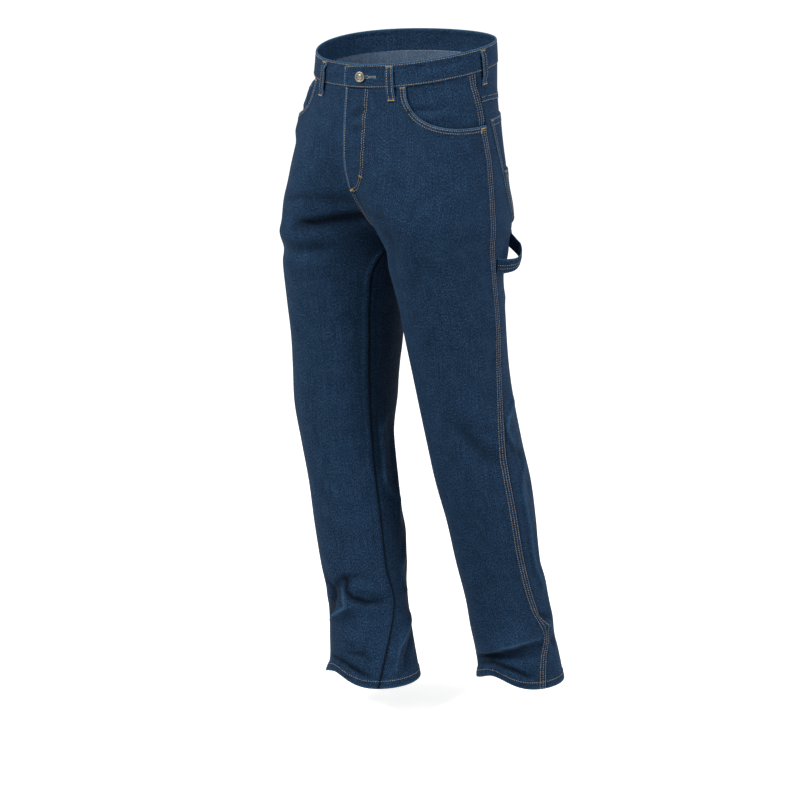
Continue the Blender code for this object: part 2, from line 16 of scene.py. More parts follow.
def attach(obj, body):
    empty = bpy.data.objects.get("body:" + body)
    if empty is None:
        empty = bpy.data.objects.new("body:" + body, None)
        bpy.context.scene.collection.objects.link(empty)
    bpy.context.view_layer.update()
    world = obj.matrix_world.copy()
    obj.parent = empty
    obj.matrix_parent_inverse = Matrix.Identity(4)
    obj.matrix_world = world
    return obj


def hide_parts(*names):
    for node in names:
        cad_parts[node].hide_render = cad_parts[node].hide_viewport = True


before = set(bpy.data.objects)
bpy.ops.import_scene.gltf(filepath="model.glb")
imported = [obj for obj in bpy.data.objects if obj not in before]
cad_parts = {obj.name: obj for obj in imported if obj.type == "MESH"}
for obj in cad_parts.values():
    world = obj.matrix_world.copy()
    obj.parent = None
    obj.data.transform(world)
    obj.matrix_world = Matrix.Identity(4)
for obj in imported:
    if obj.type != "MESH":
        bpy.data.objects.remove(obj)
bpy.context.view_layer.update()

# %% [markdown]
# ## The camera
# The photograph looks at the wearer's left front, from a little above the waist. A long lens keeps
# the legs nearly parallel. Setting it first lets every later step be judged from the right place.

# %% Camera
CAMERA_PLACE = (3.0262, -2.9332, 0.4167)
CAMERA_AIM = (0.0820, -0.0911, -0.5265)
lens_data = bpy.data.cameras.new("camera")
lens_data.lens = 114.5
lens_data.sensor_width = 36.0
camera = bpy.data.objects.new("camera", lens_data)
bpy.context.scene.collection.objects.link(camera)
bpy.context.scene.camera = camera
look = np.array(CAMERA_AIM) - np.array(CAMERA_PLACE)
camera.location = CAMERA_PLACE
camera.rotation_mode = "QUATERNION"
camera.rotation_quaternion = Vector(look).to_track_quat("-Z", "Y")
print("camera stands", round(float(np.linalg.norm(look)), 3), "m from its aim")

# %% [markdown]
# ## The worn form
# Worn trousers keep the shape of the body that fills them. Each leg is a loft of rounded sections:
# a table gives the section's four reaches at each height, and a smooth curve runs between its rows.
# A place on the cloth is then (side, height, angle): 0 degrees is the front, 90 the outer side and
# 180 the back. Every panel, pocket and stitch is laid on this one skin, so they all agree.

# %% Sizes shared with the solids
CLOTH, GAP, LAYER_GAP = 0.0015, 0.0003, 0.0008
WAISTBAND_HEIGHT, WAISTBAND_OUT, WAISTBAND_IN = 0.038, 0.0012, -0.0016
CROTCH, HEM, CROTCH_ROUND = -0.272, -1.0385, 0.018
HEM_BREAK = 0.0185
HEM_BREAK_ANGLE = {"left": 3.0, "right": 14.0}
HEM_BAND = 0.0140
COLUMNS = ("height", "inner", "outer", "front", "back", "inseam", "outseam")
FORMS = {
    "left": (
        (0.050, -0.162, 0.162, -0.130, 0.132, -90, 88),
        (0.000, -0.165, 0.165, -0.133, 0.135, -90, 88),
        (-0.050, -0.155, 0.171, -0.137, 0.130, -90, 94),
        (-0.100, -0.130, 0.177, -0.140, 0.131, -90, 98.5),
        (-0.141, -0.094, 0.182, -0.141, 0.131, -90, 101.5),
        (-0.184, -0.059, 0.187, -0.137, 0.128, -90, 101.5),
        (-0.210, -0.028, 0.190, -0.133, 0.127, -90, 100.5),
        (-0.2335, -0.009, 0.191, -0.127, 0.126, -90, 100),
        (-0.2525, 0.005, 0.190, -0.121, 0.122, -90, 100.5),
        (-0.272, 0.018, 0.188, -0.115, 0.112, -90, 102.5),
        (-0.320, 0.021, 0.184, -0.100, 0.101, -82, 109),
        (-0.404, 0.021, 0.184, -0.078, 0.105, -76, 108.5),
        (-0.500, 0.029, 0.186, -0.057, 0.112, -82, 100.5),
        (-0.613, 0.041, 0.197, -0.036, 0.130, -92, 86),
        (-0.683, 0.049, 0.205, -0.023, 0.145, -97, 82.5),
        (-0.754, 0.060, 0.209, -0.004, 0.152, -97, 82.5),
        (-0.826, 0.069, 0.210, 0.012, 0.158, -95, 86.5),
        (-0.899, 0.078, 0.216, 0.030, 0.167, -91, 93.5),
        (-0.945, 0.082, 0.223, 0.036, 0.177, -86, 105),
        (-0.985, 0.086, 0.229, 0.043, 0.187, -93, 89),
        (-1.050, 0.091, 0.237, 0.052, 0.199, -102, 76),
    ),
    "right": (
        (0.050, -0.162, 0.162, -0.130, 0.132, -90, 88),
        (0.000, -0.165, 0.166, -0.135, 0.135, -90, 88),
        (-0.050, -0.155, 0.177, -0.145, 0.135, -90, 88),
        (-0.100, -0.130, 0.187, -0.155, 0.133, -90, 88),
        (-0.141, -0.094, 0.192, -0.160, 0.130, -90, 88),
        (-0.184, -0.059, 0.197, -0.162, 0.121, -90, 88),
        (-0.210, -0.028, 0.199, -0.163, 0.115, -90, 87),
        (-0.2335, -0.009, 0.200, -0.162, 0.110, -90, 87),
        (-0.2525, 0.005, 0.200, -0.160, 0.104, -90, 86),
        (-0.272, 0.018, 0.199, -0.158, 0.097, -90, 86),
        (-0.320, 0.022, 0.198, -0.155, 0.089, -76, 86),
        (-0.380, 0.018, 0.191, -0.151, 0.078, -75.5, 87),
        (-0.450, 0.013, 0.185, -0.144, 0.060, -75, 88),
        (-0.500, 0.013, 0.183, -0.141, 0.048, -76, 90),
        (-0.564, 0.014, 0.180, -0.139, 0.042, -78.5, 93),
        (-0.633, 0.011, 0.165, -0.133, 0.033, -80, 97),
        (-0.701, 0.000, 0.150, -0.129, 0.031, -78.7, 99),
        (-0.770, -0.011, 0.139, -0.127, 0.029, -79, 99),
        (-0.840, -0.018, 0.124, -0.124, 0.024, -82, 97),
        (-0.893, -0.0251, 0.1127, -0.1205, 0.0226, -89, 95),
        (-0.915, -0.028, 0.108, -0.119, 0.022, -85, 94),
        (-0.979, -0.042, 0.102, -0.124, 0.024, -66.5, 106),
        (-1.050, -0.059, 0.097, -0.131, 0.029, -47, 118),
    ),
}
SIDES = ("left", "right")
SIGN = {"left": 1.0, "right": -1.0}
FRONT_DIP = ((0.050, 0.0030), (0.000, 0.0040), (-0.050, 0.0065), (-0.100, 0.0105), (-0.150, 0.0135),
             (-0.190, 0.0165), (-0.225, 0.0145), (-0.2525, 0.0095), (-0.272, 0.0000))


# %% Curves and sections
def smooth_step(low, high, value):
    """0 at low, 1 at high, and a smooth rise between. low may be above high."""
    share = np.clip((np.asarray(value, float) - low) / (high - low), 0.0, 1.0)
    return share * share * (3.0 - 2.0 * share)


def unit(directions):
    return directions / np.linalg.norm(directions, axis=-1, keepdims=True)


def run_of(steps):
    """How far each point lies along its line, from the lengths of the line's steps."""
    return np.concatenate([np.zeros(steps.shape[:-1] + (1,)), np.cumsum(steps, axis=-1)], axis=-1)


def line_run(points):
    return run_of(np.linalg.norm(np.diff(points, axis=-2), axis=-1))


def grids(height, angle):
    return np.broadcast_arrays(np.asarray(height, float), np.asarray(angle, float))


def read_curve(places, values, at):
    """Cubic through the given points that keeps their rises and falls, read at any places."""
    places, values = np.asarray(places, float), np.asarray(values, float)
    if places[0] > places[-1]:
        places, values = places[::-1], values[::-1]
    steps = np.diff(places)
    slopes = np.diff(values) / steps
    tangents = np.concatenate(([slopes[0]], (slopes[:-1] + slopes[1:]) / 2, [slopes[-1]]))
    tangents[1:-1][slopes[:-1] * slopes[1:] <= 0] = 0.0
    at = np.clip(np.asarray(at, float), places[0], places[-1])
    cell = np.clip(np.searchsorted(places, at, side="right") - 1, 0, len(steps) - 1)
    step = steps[cell]
    share = (at - places[cell]) / step
    rest = 1.0 - share
    return (values[cell] * rest * rest * (1 + 2 * share) + values[cell + 1] * share * share * (3 - 2 * share)
            + tangents[cell] * step * share * rest * rest - tangents[cell + 1] * step * share * share * rest)


def form(side, column, height):
    rows = np.array(FORMS[side], float)
    return read_curve(rows[:, 0], rows[:, COLUMNS.index(column)], height)


def crotch_round(height):
    return CROTCH_ROUND * smooth_step(-0.010, -0.140, height) * smooth_step(-0.450, -0.300, height)


def section(side, height):
    """Middle x, half width, middle y and half depth of one leg's section."""
    inner, outer = form(side, "inner", height), form(side, "outer", height)
    front, back = form(side, "front", height), form(side, "back", height)
    return (inner + outer) / 2, (outer - inner) / 2, (front + back) / 2, (back - front) / 2


def angle_at(side, height, distance):
    """Angle of the front point that lies this far from the middle plane."""
    middle_x, half_x, _, _ = section(side, height)
    raw = np.sqrt(np.square(distance) + np.square(crotch_round(height)))
    return np.degrees(np.arcsin(np.clip((raw - middle_x) / half_x, -1.0, 1.0)))


def rise_angle(side, height):
    """Angle of the centre front seam above the crotch, and of the inseam below it."""
    centre = angle_at(side, np.maximum(height, CROTCH), 0.0)
    return np.where(height >= CROTCH, centre, form(side, "inseam", height))


def seam_depth(side, height, facing):
    _, _, middle_y, half_y = section(side, height)
    return middle_y + facing * half_y * np.cos(np.radians(rise_angle(side, height)))


def seam_shift(side, height, facing):
    """What brings this side's centre seam to the one that both sides share."""
    level = np.maximum(height, CROTCH)
    aim = (seam_depth("left", level, facing) + seam_depth("right", level, facing)) / 2
    if facing < 0:
        aim = aim + read_curve(*zip(*FRONT_DIP), level)
    return (aim - seam_depth(side, level, facing)) * smooth_step(-0.400, CROTCH, height)


def sag(side, height, y, angle):
    """The waist is lower in front, and the hems break up in front."""
    forward = np.clip(-y / 0.135, -1.1, 1.1)
    waist = (0.0115 - 0.020 * forward - 0.0065 * forward**2) * smooth_step(-0.170, 0.0, height)
    from_break = 1.0 - np.cos(np.radians(angle - HEM_BREAK_ANGLE[side]))
    return waist + HEM_BREAK * np.exp(-6.5 * from_break) * smooth_step(-0.900, HEM, height)


def bare_skin(side, height, angle):
    """Point on the outer face of the cloth, before its creases."""
    height, angle = grids(height, angle)
    middle_x, half_x, middle_y, half_y = section(side, height)
    turn = np.radians(angle)
    raw = middle_x + half_x * np.sin(turn)
    round_off = crotch_round(height)
    x = np.sign(raw - round_off) * np.sqrt(np.abs(raw**2 - round_off**2))
    shift = np.where(np.cos(turn) > 0, seam_shift(side, height, -1), seam_shift(side, height, 1))
    y = middle_y - half_y * np.cos(turn) + shift * np.exp(-((x / 0.055) ** 2))
    return np.stack([SIGN[side] * (x + GAP / 2), y, height + sag(side, height, y, angle)], axis=-1)


def per_degree(side, height, angle):
    """Length of cloth that one degree of turn covers here, in metres."""
    _, half_x, _, half_y = section(side, height)
    turn = np.radians(angle)
    return np.radians(1.0) * np.hypot(half_x * np.cos(turn), half_y * np.sin(turn))


knee = float(form("left", "outer", -0.5) - form("left", "inner", -0.5))
print("left leg is", round(knee * 1000), "mm wide at the knee")

# %% [markdown]
# ## Creases
# Denim is stiff, so its creases are few, long and soft, with one side steeper than the other where
# the cloth hangs over. They are given one by one: each is a path over the skin, with a lift at each of
# its points and a width on each side of it. A ridge has a positive lift and a trough a negative one.

# %% Broad creases, the same as the solids have
CREASES = (
    ("right", 50, -0.050, 50, -0.112, 0.036, 0.0065),
    ("right", -40, -0.262, 30, -0.222, 0.009, -0.006),
    ("right", -45, -0.290, 45, -0.300, 0.012, -0.006),
    ("right", -30, -0.275, 40, -0.262, 0.014, 0.005),
    ("right", 20, -0.892, -30, -0.905, 0.014, 0.003),
    ("right", 5, -0.955, -50, -0.965, 0.018, 0.004),
    ("right", -120, -0.600, -112, -0.780, 0.010, 0.005),
    ("right", -140, -0.560, -150, -0.760, 0.014, -0.003),
    ("right", -136, -0.430, -136, -0.600, 0.030, 0.0032),
    ("right", -136, -0.760, -136, -0.870, 0.028, 0.0042),
    ("left", 134, -0.830, 134, -0.955, 0.024, 0.0060),
    ("left", -16, -0.988, 62, -0.955, 0.014, 0.005),
    ("left", -28, -1.006, 75, -0.975, 0.009, -0.006),
    ("left", 102, -0.565, 118, -0.610, 0.010, 0.003),
    ("left", 100, -0.640, 118, -0.710, 0.012, -0.003),
    ("left", 112, -0.720, 118, -0.860, 0.010, 0.004),
    ("left", 95, -0.930, 116, -0.918, 0.010, 0.004),
    ("left", 120, -0.285, 150, -0.302, 0.022, 0.005),
    ("left", -60, -0.300, 10, -0.240, 0.016, -0.003),
)


def broad_lift(side, height, angle):
    lift = np.zeros(height.shape)
    radius = section(side, height)[1]
    for row_side, angle_a, height_a, angle_b, height_b, half_width, amount in CREASES:
        if row_side != side:
            continue
        turn, turn_a, turn_b = np.radians(angle), math.radians(angle_a), math.radians(angle_b)
        run, rise = (turn_b - turn_a) * radius, height_b - height_a
        from_middle = np.mod(turn - (turn_a + turn_b) / 2 + math.pi, 2 * math.pi) - math.pi
        across, up = from_middle * radius + run / 2, height - height_a
        length = np.sqrt(run**2 + rise**2)
        along, aside = (across * run + up * rise) / length**2, (across * -rise + up * run) / length
        fade = smooth_step(-0.12, 0.3, along) * smooth_step(1.12, 0.7, along)
        lift = lift + amount * fade * np.exp(-((aside / half_width) ** 2))
    return lift


# %% Fine creases, read from the photograph and repeated unevenly on the hidden sides
# A crease is a row of points. A point is (angle, height, lift, width on the left, width on the right
# of the way it runs), in degrees and millimetres. Angles grow outward and heights grow upward, so a
# crease that runs toward larger angles has its upper side on the left.
FOLD_SCALE = 1.25
FOLD_REACH = 3.2     # widths from its path at which a crease has faded out
FULL_MARK = 5.0      # lift in millimetres at which a crest is rubbed most, and a trough gets its darkest painted shade
SHARP_WIDTH = 5.5    # only a crease with a side this steep, in millimetres, is rubbed
CREST_WIDTH = 0.0024
FOLDS = {
    "right": (
        # Right hem, spread over the front of the foot, and the smooth front edge of the right shin.
        ((12, -1040, 0, 15, 15), (28, -1040, 3.5, 16, 16), (44, -1040, 6, 16, 16), (60, -1040, 4, 16, 16),
         (78, -1040, 0, 15, 15)),
        ((28, -858, 0, 20, 20), (42, -866, -2.4, 24, 24), (56, -870, -2.4, 24, 24),
         (72, -868, 0, 20, 20)),
        # Right thigh, pulled from the crotch.
        ((24, -206, 0, 7, 6), (13, -204, -2.2, 7, 6), (0, -197, -2.6, 7, 6), (-10, -198, -2, 7, 6),
         (-21, -202, -2.2, 7, 6), (-38, -208, 0, 7, 6)),
        ((8, -250, 0, 9, 4), (-4, -247, -4, 11, 5), (-19, -240, -6, 14, 5), (-32, -232, -6.6, 16, 5),
         (-46, -227, -6, 16, 5), (-60, -224, 0, 14, 5)),
        ((4, -240, 0, 7, 8), (-19, -230, 2, 7, 8), (-32, -222, 2.4, 7, 8), (-50, -216, 0, 7, 8)),
        # Right shin: the cloth stacks up over the foot.
        ((-15, -862, 0, 4, 12), (-16, -872, 4, 4, 12), (-16, -889, 5, 4, 14), (-18, -901, 6, 4, 16),
         (-5, -912, 6, 4, 16), (11, -924, 5, 4, 16), (24, -936, 2.4, 4, 16), (38, -946, 0, 4, 12)),
        ((22, -862, 0, 9, 9), (8, -872, -4, 9, 9), (2, -888, -5, 9, 8), (9, -904, -5, 9, 8),
         (24, -920, -4, 9, 8), (42, -932, 0, 9, 8)),
        ((-19, -848, 0, 5, 5), (-23, -858, -4, 5, 5), (-21, -874, -5, 5, 5), (-27, -886, -5.5, 6, 5),
         (-45, -893, -5, 7, 5), (-65, -893, -3, 7, 5), (-80, -892, 0, 7, 5)),
        ((14, -884, 0, 8, 4), (2, -874, -2.5, 9, 4), (-10, -860, -3.2, 10, 4), (-19, -851, -3, 10, 4),
         (-36, -847, -2, 10, 4), (-56, -850, 0, 8, 4)),
        ((-32, -866, 0, 9, 9), (-44, -868, 3, 9, 10), (-60, -874, 2.5, 9, 10), (-74, -882, 0, 9, 9)),
        ((-10, -986, 0, 5, 4), (-20, -986, -2, 6, 4), (-35, -982, -2.6, 7, 4), (-41, -989, -2, 6, 4),
         (-48, -998, 0, 5, 4)),
        ((28, -1012, 0, 3, 5), (18, -1014, -4, 3, 6), (-7, -1011, -5, 3, 7), (-26, -1015, -5, 3, 6),
         (-39, -1020, -3, 3, 5), (-48, -1022, 0, 3, 5)),
        # Right calf, beside and behind the inseam.
        ((-108, -570, 0, 9, 5), (-100, -586, 2.4, 12, 5), (-94, -602, 4, 5, 12), (-96, -644, 4, 5, 14),
         (-93, -690, 4, 5, 14), (-99, -711, 3.4, 5, 12), (-111, -727, 2.4, 5, 10), (-122, -742, 0, 5, 8)),
        ((-126, -780, 0, 5, 9), (-120, -823, 3, 5, 9), (-110, -846, 3.4, 5, 9), (-112, -868, 3.4, 5, 9),
         (-120, -884, 2.4, 5, 8), (-136, -895, 0, 5, 8)),
        ((-134, -922, 0, 9, 4), (-124, -941, 3.6, 10, 4), (-104, -956, 4.6, 12, 4),
         (-87, -974, 4.6, 12, 4), (-81, -991, 4, 12, 4), (-77, -1010, 2.4, 10, 4), (-76, -1020, 0, 9, 4)),
        ((-130, -957, 0, 6, 8), (-112, -973, -3.4, 6, 9), (-98, -992, -3.6, 6, 9),
         (-92, -1010, -2.4, 6, 8), (-90, -1022, 0, 6, 8)),
        # Waistband: it rolls where the button pulls it, and it bends under the back belt loop.
        ((-3, 21, 0, 7, 6), (4, 21, 1.2, 7, 6), (14, 20, 1.6, 7, 6), (26, 21, 0, 7, 6)),
        ((-3, 31, 0, 6, 5), (6, 31, -1.4, 6, 5), (16, 30, -1.4, 6, 5), (26, 31, 0, 6, 5)),
        # Seat, from behind: shallow folds under each back pocket and down from the seat seam.
        ((96, -300, 0, 10, 10), (118, -322, -3.4, 12, 12), (146, -328, -4.2, 12, 12),
         (168, -318, 0, 10, 10)),
        ((104, -284, 0, 11, 11), (126, -302, 2.6, 12, 12), (150, -306, 2.8, 12, 12),
         (166, -300, 0, 10, 10)),
        ((196, -246, 0, 8, 8), (187, -284, -3, 10, 10), (176, -318, -2.6, 10, 10),
         (166, -342, 0, 10, 10)),
        # Behind the knees.
        ((226, -520, 0, 8, 10), (204, -540, -3.4, 8, 12), (180, -546, -3.8, 8, 12),
         (156, -536, 0, 8, 10)),
        ((222, -566, 0, 10, 8), (200, -580, 3, 12, 9), (172, -588, 3, 12, 9), (146, -580, 0, 10, 8)),
        ((214, -610, 0, 8, 8), (194, -628, -3, 9, 9), (168, -640, -3, 9, 9), (144, -636, 0, 8, 8)),
        # Ankles, from behind and from the outer side.
        ((150, -880, 0, 6, 9), (126, -902, 3.6, 6, 11), (100, -914, 4, 6, 12), (66, -930, 0, 6, 9)),
        ((156, -905, 0, 9, 6), (132, -926, -3.4, 10, 6), (104, -938, -3.8, 10, 6), (70, -950, 0, 9, 6)),
        ((228, -930, 0, 8, 8), (206, -944, 3, 9, 9), (182, -952, 3, 9, 9), (160, -946, 0, 8, 8)),
    ),
    "left": (
        # Left thigh: a broad full place beside a shallow pull from the crotch.
        ((4, -192, 0, 16, 16), (12, -215, 2.4, 18, 18), (19, -240, 3, 20, 18), (22, -272, 2, 20, 18),
         (22, -315, 0, 20, 18)),
        ((-26, -214, -1.6, 6, 6), (-12, -219, -2.2, 6, 6), (6, -222, -1.4, 6, 6), (16, -226, 0, 6, 6)),
        ((-2, -232, 0, 9, 9), (-5, -252, -2, 10, 10), (-10, -276, -2.2, 12, 10),
         (-16, -302, -1.2, 12, 10), (-20, -335, 0, 12, 10)),
        # Left knee and calf, behind the outseam.
        ((18, -548, 0, 13, 13), (35, -575, -2, 14, 14), (50, -606, -2.8, 14, 14),
         (66, -624, -2.6, 14, 14), (88, -640, 0, 12, 12)),
        ((30, -500, 0, 14, 14), (45, -536, 2, 16, 16), (62, -566, 2, 16, 16), (80, -584, 0, 14, 14)),
        ((134, -526, 0, 8, 5), (119, -543, 3.2, 12, 5), (99, -563, 4.4, 12, 5), (93, -582, 4.6, 14, 5),
         (98, -604, 4.2, 12, 5), (104, -624, 2.6, 10, 5), (108, -636, 0, 8, 5)),
        ((90, -612, 0, 8, 8), (100, -617, -3, 8, 8), (112, -630, -3.6, 8, 8), (124, -640, 0, 8, 8)),
        ((124, -634, 0, 10, 5), (112, -656, 3.2, 12, 5), (100, -685, 4.2, 14, 5), (98, -721, 4.2, 14, 5),
         (102, -753, 3.8, 12, 5), (101, -783, 4.2, 14, 5), (105, -829, 4.4, 14, 5),
         (113, -856, 3.4, 12, 5), (122, -878, 0, 8, 5)),
        ((106, -742, 0, 6, 6), (115, -750, -3, 7, 7), (127, -762, 0, 8, 8)),
        ((92, -900, 0, 4, 6), (100, -913, -3.4, 4, 6), (112, -918, -4, 4, 6), (123, -924, 0, 4, 6)),
        ((96, -924, 0, 5, 8), (104, -932, 4.2, 5, 9), (114, -936, 3.4, 5, 10), (126, -942, 0, 5, 8)),
        ((102, -956, 0, 7, 7), (113, -964, -3, 8, 8), (126, -970, 0, 8, 8)),
        # Left shin: the cloth hangs over in one long fold, above the break at the hem.
        ((-75, -1037, 0, 12, 12), (-55, -1037, 3, 13, 13), (-40, -1037, 4, 13, 13),
         (-22, -1037, 2.5, 13, 13), (-5, -1037, 0, 12, 12)),
        ((-34, -996, 0, 16, 4), (-16, -992, 3, 20, 4), (4, -987, 5.5, 22, 4), (32, -963, 6, 22, 4),
         (56, -953, 5, 20, 4), (78, -950, 3, 16, 4), (94, -952, 0, 12, 4)),
        ((-38, -1006, 0, 4, 8), (-22, -1002, -2.5, 4, 9), (0, -999, -4.5, 4, 10), (32, -973, -4.4, 4, 11),
         (56, -963, -4, 4, 11), (80, -960, -2.4, 4, 9), (96, -961, 0, 4, 8)),
        ((-30, -1014, 0, 5, 3), (-18, -1015, -3.6, 6, 3), (14, -1013, -5, 6, 3), (37, -1010, -5.2, 6, 3),
         (52, -1016, -4, 6, 3), (64, -1021, 0, 5, 3)),
        # Side and fly: small pulls under the belt loop, along the fly and in the pocket's cloth.
        ((86, -14, 0, 4, 6), (91, -22, -2.2, 4, 6), (97, -34, -3, 4, 6), (105, -45, -2, 4, 6),
         (112, -52, 0, 4, 6)),
        ((41, -41, -1.6, 5, 3), (48, -41, -3, 6, 3), (56, -45, -3, 6, 3), (63, -44, -1.6, 6, 3),
         (69, -42, 0, 5, 3)),
        ((46, -52, 0, 5, 5), (54, -56, 1.8, 6, 6), (64, -55, 1.4, 6, 6), (72, -52, 0, 6, 6)),
        ((1, -50, 0, 5, 4), (4, -46, -3, 5, 4), (9, -41, -3.8, 5, 4), (12.5, -35, -2.4, 5, 4),
         (15, -31, 0, 5, 4)),
        ((1, -61, 0, 5, 5), (6, -58, 1.4, 5, 5), (12, -52, 1.4, 5, 5), (16, -48, 0, 5, 5)),
        ((1, -77, 0, 5, 4), (4, -73, -2.2, 5, 4), (9, -69, -2.4, 5, 4), (13, -65, 0, 5, 4)),
        ((1, -108, 0, 5, 5), (4, -104, -1.4, 5, 5), (9, -101, -1.4, 5, 5), (13, -98, 0, 5, 5)),
        ((1, -140, 0, 5, 5), (4, -137, -1.2, 5, 5), (9, -134, -1.2, 5, 5), (12, -132, 0, 5, 5)),
        # Waistband: it rolls where the button pulls it, and it bends under the back belt loop.
        ((36, 26, 0, 6, 6), (50, 23, -1.2, 6, 6), (68, 25, -1.4, 6, 6), (84, 27, 0, 6, 6)),
        ((40, 12, 0, 6, 6), (56, 11, 1, 6, 6), (76, 13, 1, 6, 6), (90, 13, 0, 6, 6)),
        # Seat, from behind: shallow folds under each back pocket and down from the seat seam.
        ((130, -372, 0, 10, 10), (146, -366, 1.6, 12, 12), (162, -360, 2.4, 12, 12),
         (176, -356, 0, 10, 10)),
        ((196, -250, 0, 8, 8), (188, -285, -3, 10, 10), (178, -322, -3, 10, 10), (168, -352, 0, 10, 10)),
        # Behind the knees.
        ((214, -536, 0, 8, 10), (196, -556, -3.6, 8, 12), (176, -562, -4.2, 8, 12),
         (156, -552, 0, 8, 10)),
        ((220, -574, 0, 10, 8), (198, -586, 3.2, 12, 9), (174, -600, 3, 12, 9), (150, -606, 0, 10, 8)),
        ((226, -612, 0, 8, 8), (206, -622, -3.2, 9, 9), (182, -640, -3, 9, 9), (162, -650, 0, 8, 8)),
        # Ankles, from behind and from the outer side.
        ((236, -900, 0, 9, 6), (212, -916, 3.6, 11, 6), (186, -924, 4, 12, 6), (162, -918, 0, 9, 6)),
        ((232, -926, 0, 6, 9), (208, -938, -3.4, 6, 10), (184, -946, -3.8, 6, 10), (160, -944, 0, 6, 9)),
    ),
}


def fold_fields(side, height, angle):
    """How far the fine creases move each place out, how near a crest it is, and how deep in a trough, which
    sets the trough's painted shade.
    """
    lift, crest, trough_shade = np.zeros((3,) + height.shape)
    for points in FOLDS[side]:
        knots = np.array(points, float)
        knots[:, 1] /= 1000
        middle = knots[len(knots) // 2]
        scale = float(per_degree(side, middle[1], middle[0]))
        x = (np.mod(angle - middle[0] + 180.0, 360.0) - 180.0) * scale
        y = height - middle[1]
        reach = FOLD_REACH * knots[:, 3:].max() / 1000
        knot_x, knot_y = (knots[:, 0] - middle[0]) * scale, knots[:, 1] - middle[1]
        near = (x > knot_x.min() - reach) & (x < knot_x.max() + reach)
        near &= (y > knot_y.min() - reach) & (y < knot_y.max() + reach)
        if not near.any():
            continue
        px, py = x[near], y[near]
        best = np.full(px.shape, 1e9)
        values = np.zeros((3,) + px.shape)
        for start in range(len(knots) - 1):
            dx, dy = knot_x[start + 1] - knot_x[start], knot_y[start + 1] - knot_y[start]
            ax, ay = px - knot_x[start], py - knot_y[start]
            share = np.clip((ax * dx + ay * dy) / (dx * dx + dy * dy), 0.0, 1.0)
            away = np.hypot(ax - share * dx, ay - share * dy)
            closer = away < best
            best = np.where(closer, away, best)
            ease = share * share * (3.0 - 2.0 * share)
            amount = knots[start, 2] + (knots[start + 1, 2] - knots[start, 2]) * ease
            left = knots[start, 3] + (knots[start + 1, 3] - knots[start, 3]) * share
            right = knots[start, 4] + (knots[start + 1, 4] - knots[start, 4]) * share
            width = np.where(dx * ay - dy * ax > 0, left, right)
            values = np.where(closer, np.stack([amount, width, away]), values)
        amount, width, away = values
        bell = np.exp(-((away / (width / 1000)) ** 2))
        lift[near] += FOLD_SCALE * amount / 1000 * bell
        # Painted shade: the deeper a trough, the darker its colour is painted.
        trough_shade[near] += np.clip(-amount / FULL_MARK, 0.0, 1.0) * bell
        sharp = width.min() <= SHARP_WIDTH
        crest[near] += sharp * np.clip(amount / FULL_MARK, 0.0, 1.0) * np.exp(-((away / CREST_WIDTH) ** 2))
    return lift, crest, trough_shade


def fold_lift(side, height, angle):
    return fold_fields(side, height, angle)[0]


def skin(side, height, angle, out=0.0):
    """Point at a distance out from the creased outer face of the cloth."""
    height, angle = grids(height, angle)
    round_leg = bare_skin(side, height, angle + 0.4) - bare_skin(side, height, angle - 0.4)
    up_leg = bare_skin(side, height + 0.0004, angle) - bare_skin(side, height - 0.0004, angle)
    normal = unit(SIGN[side] * np.cross(round_leg, up_leg))
    far = np.asarray(out, float) + broad_lift(side, height, angle) + fold_lift(side, height, angle)
    return bare_skin(side, height, angle) + normal * np.broadcast_to(far, height.shape)[..., None]


print(sum(map(len, FOLDS.values())), "fine creases on", len(CREASES), "broad ones")

# %% [markdown]
# ## Small helpers for materials
# One function turns a hex colour into the linear values that the shader wants, and one function adds
# a node with its settings and its links, so that a material reads as a list of steps.


# %% Node helpers
def linear(code):
    """Linear colour of an sRGB hex value."""
    parts = [int(code[k:k + 2], 16) / 255 for k in (1, 3, 5)]
    return tuple(v / 12.92 if v <= 0.04045 else ((v + 0.055) / 1.055) ** 2.4 for v in parts) + (1.0,)


def node(tree, kind, settings=(), **inputs):
    """Adds a node. An input is a value or an output socket. i0 is its first input, and so on."""
    made = tree.nodes.new(kind)
    for name, value in dict(settings).items():
        setattr(made, name, value)
    for name, value in inputs.items():
        numbered = name[0] == "i" and name[1:].isdigit()
        socket = made.inputs[int(name[1:]) if numbered else name.replace("_", " ")]
        if isinstance(value, bpy.types.NodeSocket):
            tree.links.new(value, socket)
        else:
            socket.default_value = value
    return made


def maths(tree, operation, *values, clamp=False):
    inputs = {"i" + str(k): value for k, value in enumerate(values)}
    settings = {"operation": operation, "use_clamp": clamp}
    return node(tree, "ShaderNodeMath", settings, **inputs).outputs["Value"]


def noise(tree, place, scale, detail, roughness=0.5):
    made = node(tree, "ShaderNodeTexNoise", Vector=place, Scale=scale, Detail=detail, Roughness=roughness)
    return made.outputs["Fac"]


def mapped(tree, place, **settings):
    return node(tree, "ShaderNodeMapping", Vector=place, **settings).outputs["Vector"]


def attribute(tree, name):
    return node(tree, "ShaderNodeAttribute", {"attribute_name": name}).outputs["Fac"]


def stretched(tree, value, low, high, to_low=0.0, to_high=1.0):
    """A value that goes from low to high, moved and stretched to a new range."""
    ends = dict(From_Min=low, From_Max=high, To_Min=to_low, To_Max=to_high)
    return node(tree, "ShaderNodeMapRange", Value=value, **ends).outputs["Result"]


def mixed(tree, share, first, second):
    made = node(tree, "ShaderNodeMix", {"data_type": "RGBA"}, i0=share, i6=first, i7=second)
    return made.outputs[2]


def bump(tree, strength, distance, height, **under):
    made = node(tree, "ShaderNodeBump", Strength=strength, Distance=distance, Height=height, **under)
    return made.outputs["Normal"]


def start_material(name, roughness, metallic=0.0):
    made = bpy.data.materials.new(name)
    made.use_nodes = True
    shader = made.node_tree.nodes["Principled BSDF"]
    shader.inputs["Roughness"].default_value = roughness
    shader.inputs["Metallic"].default_value = metallic
    return made, made.node_tree, shader


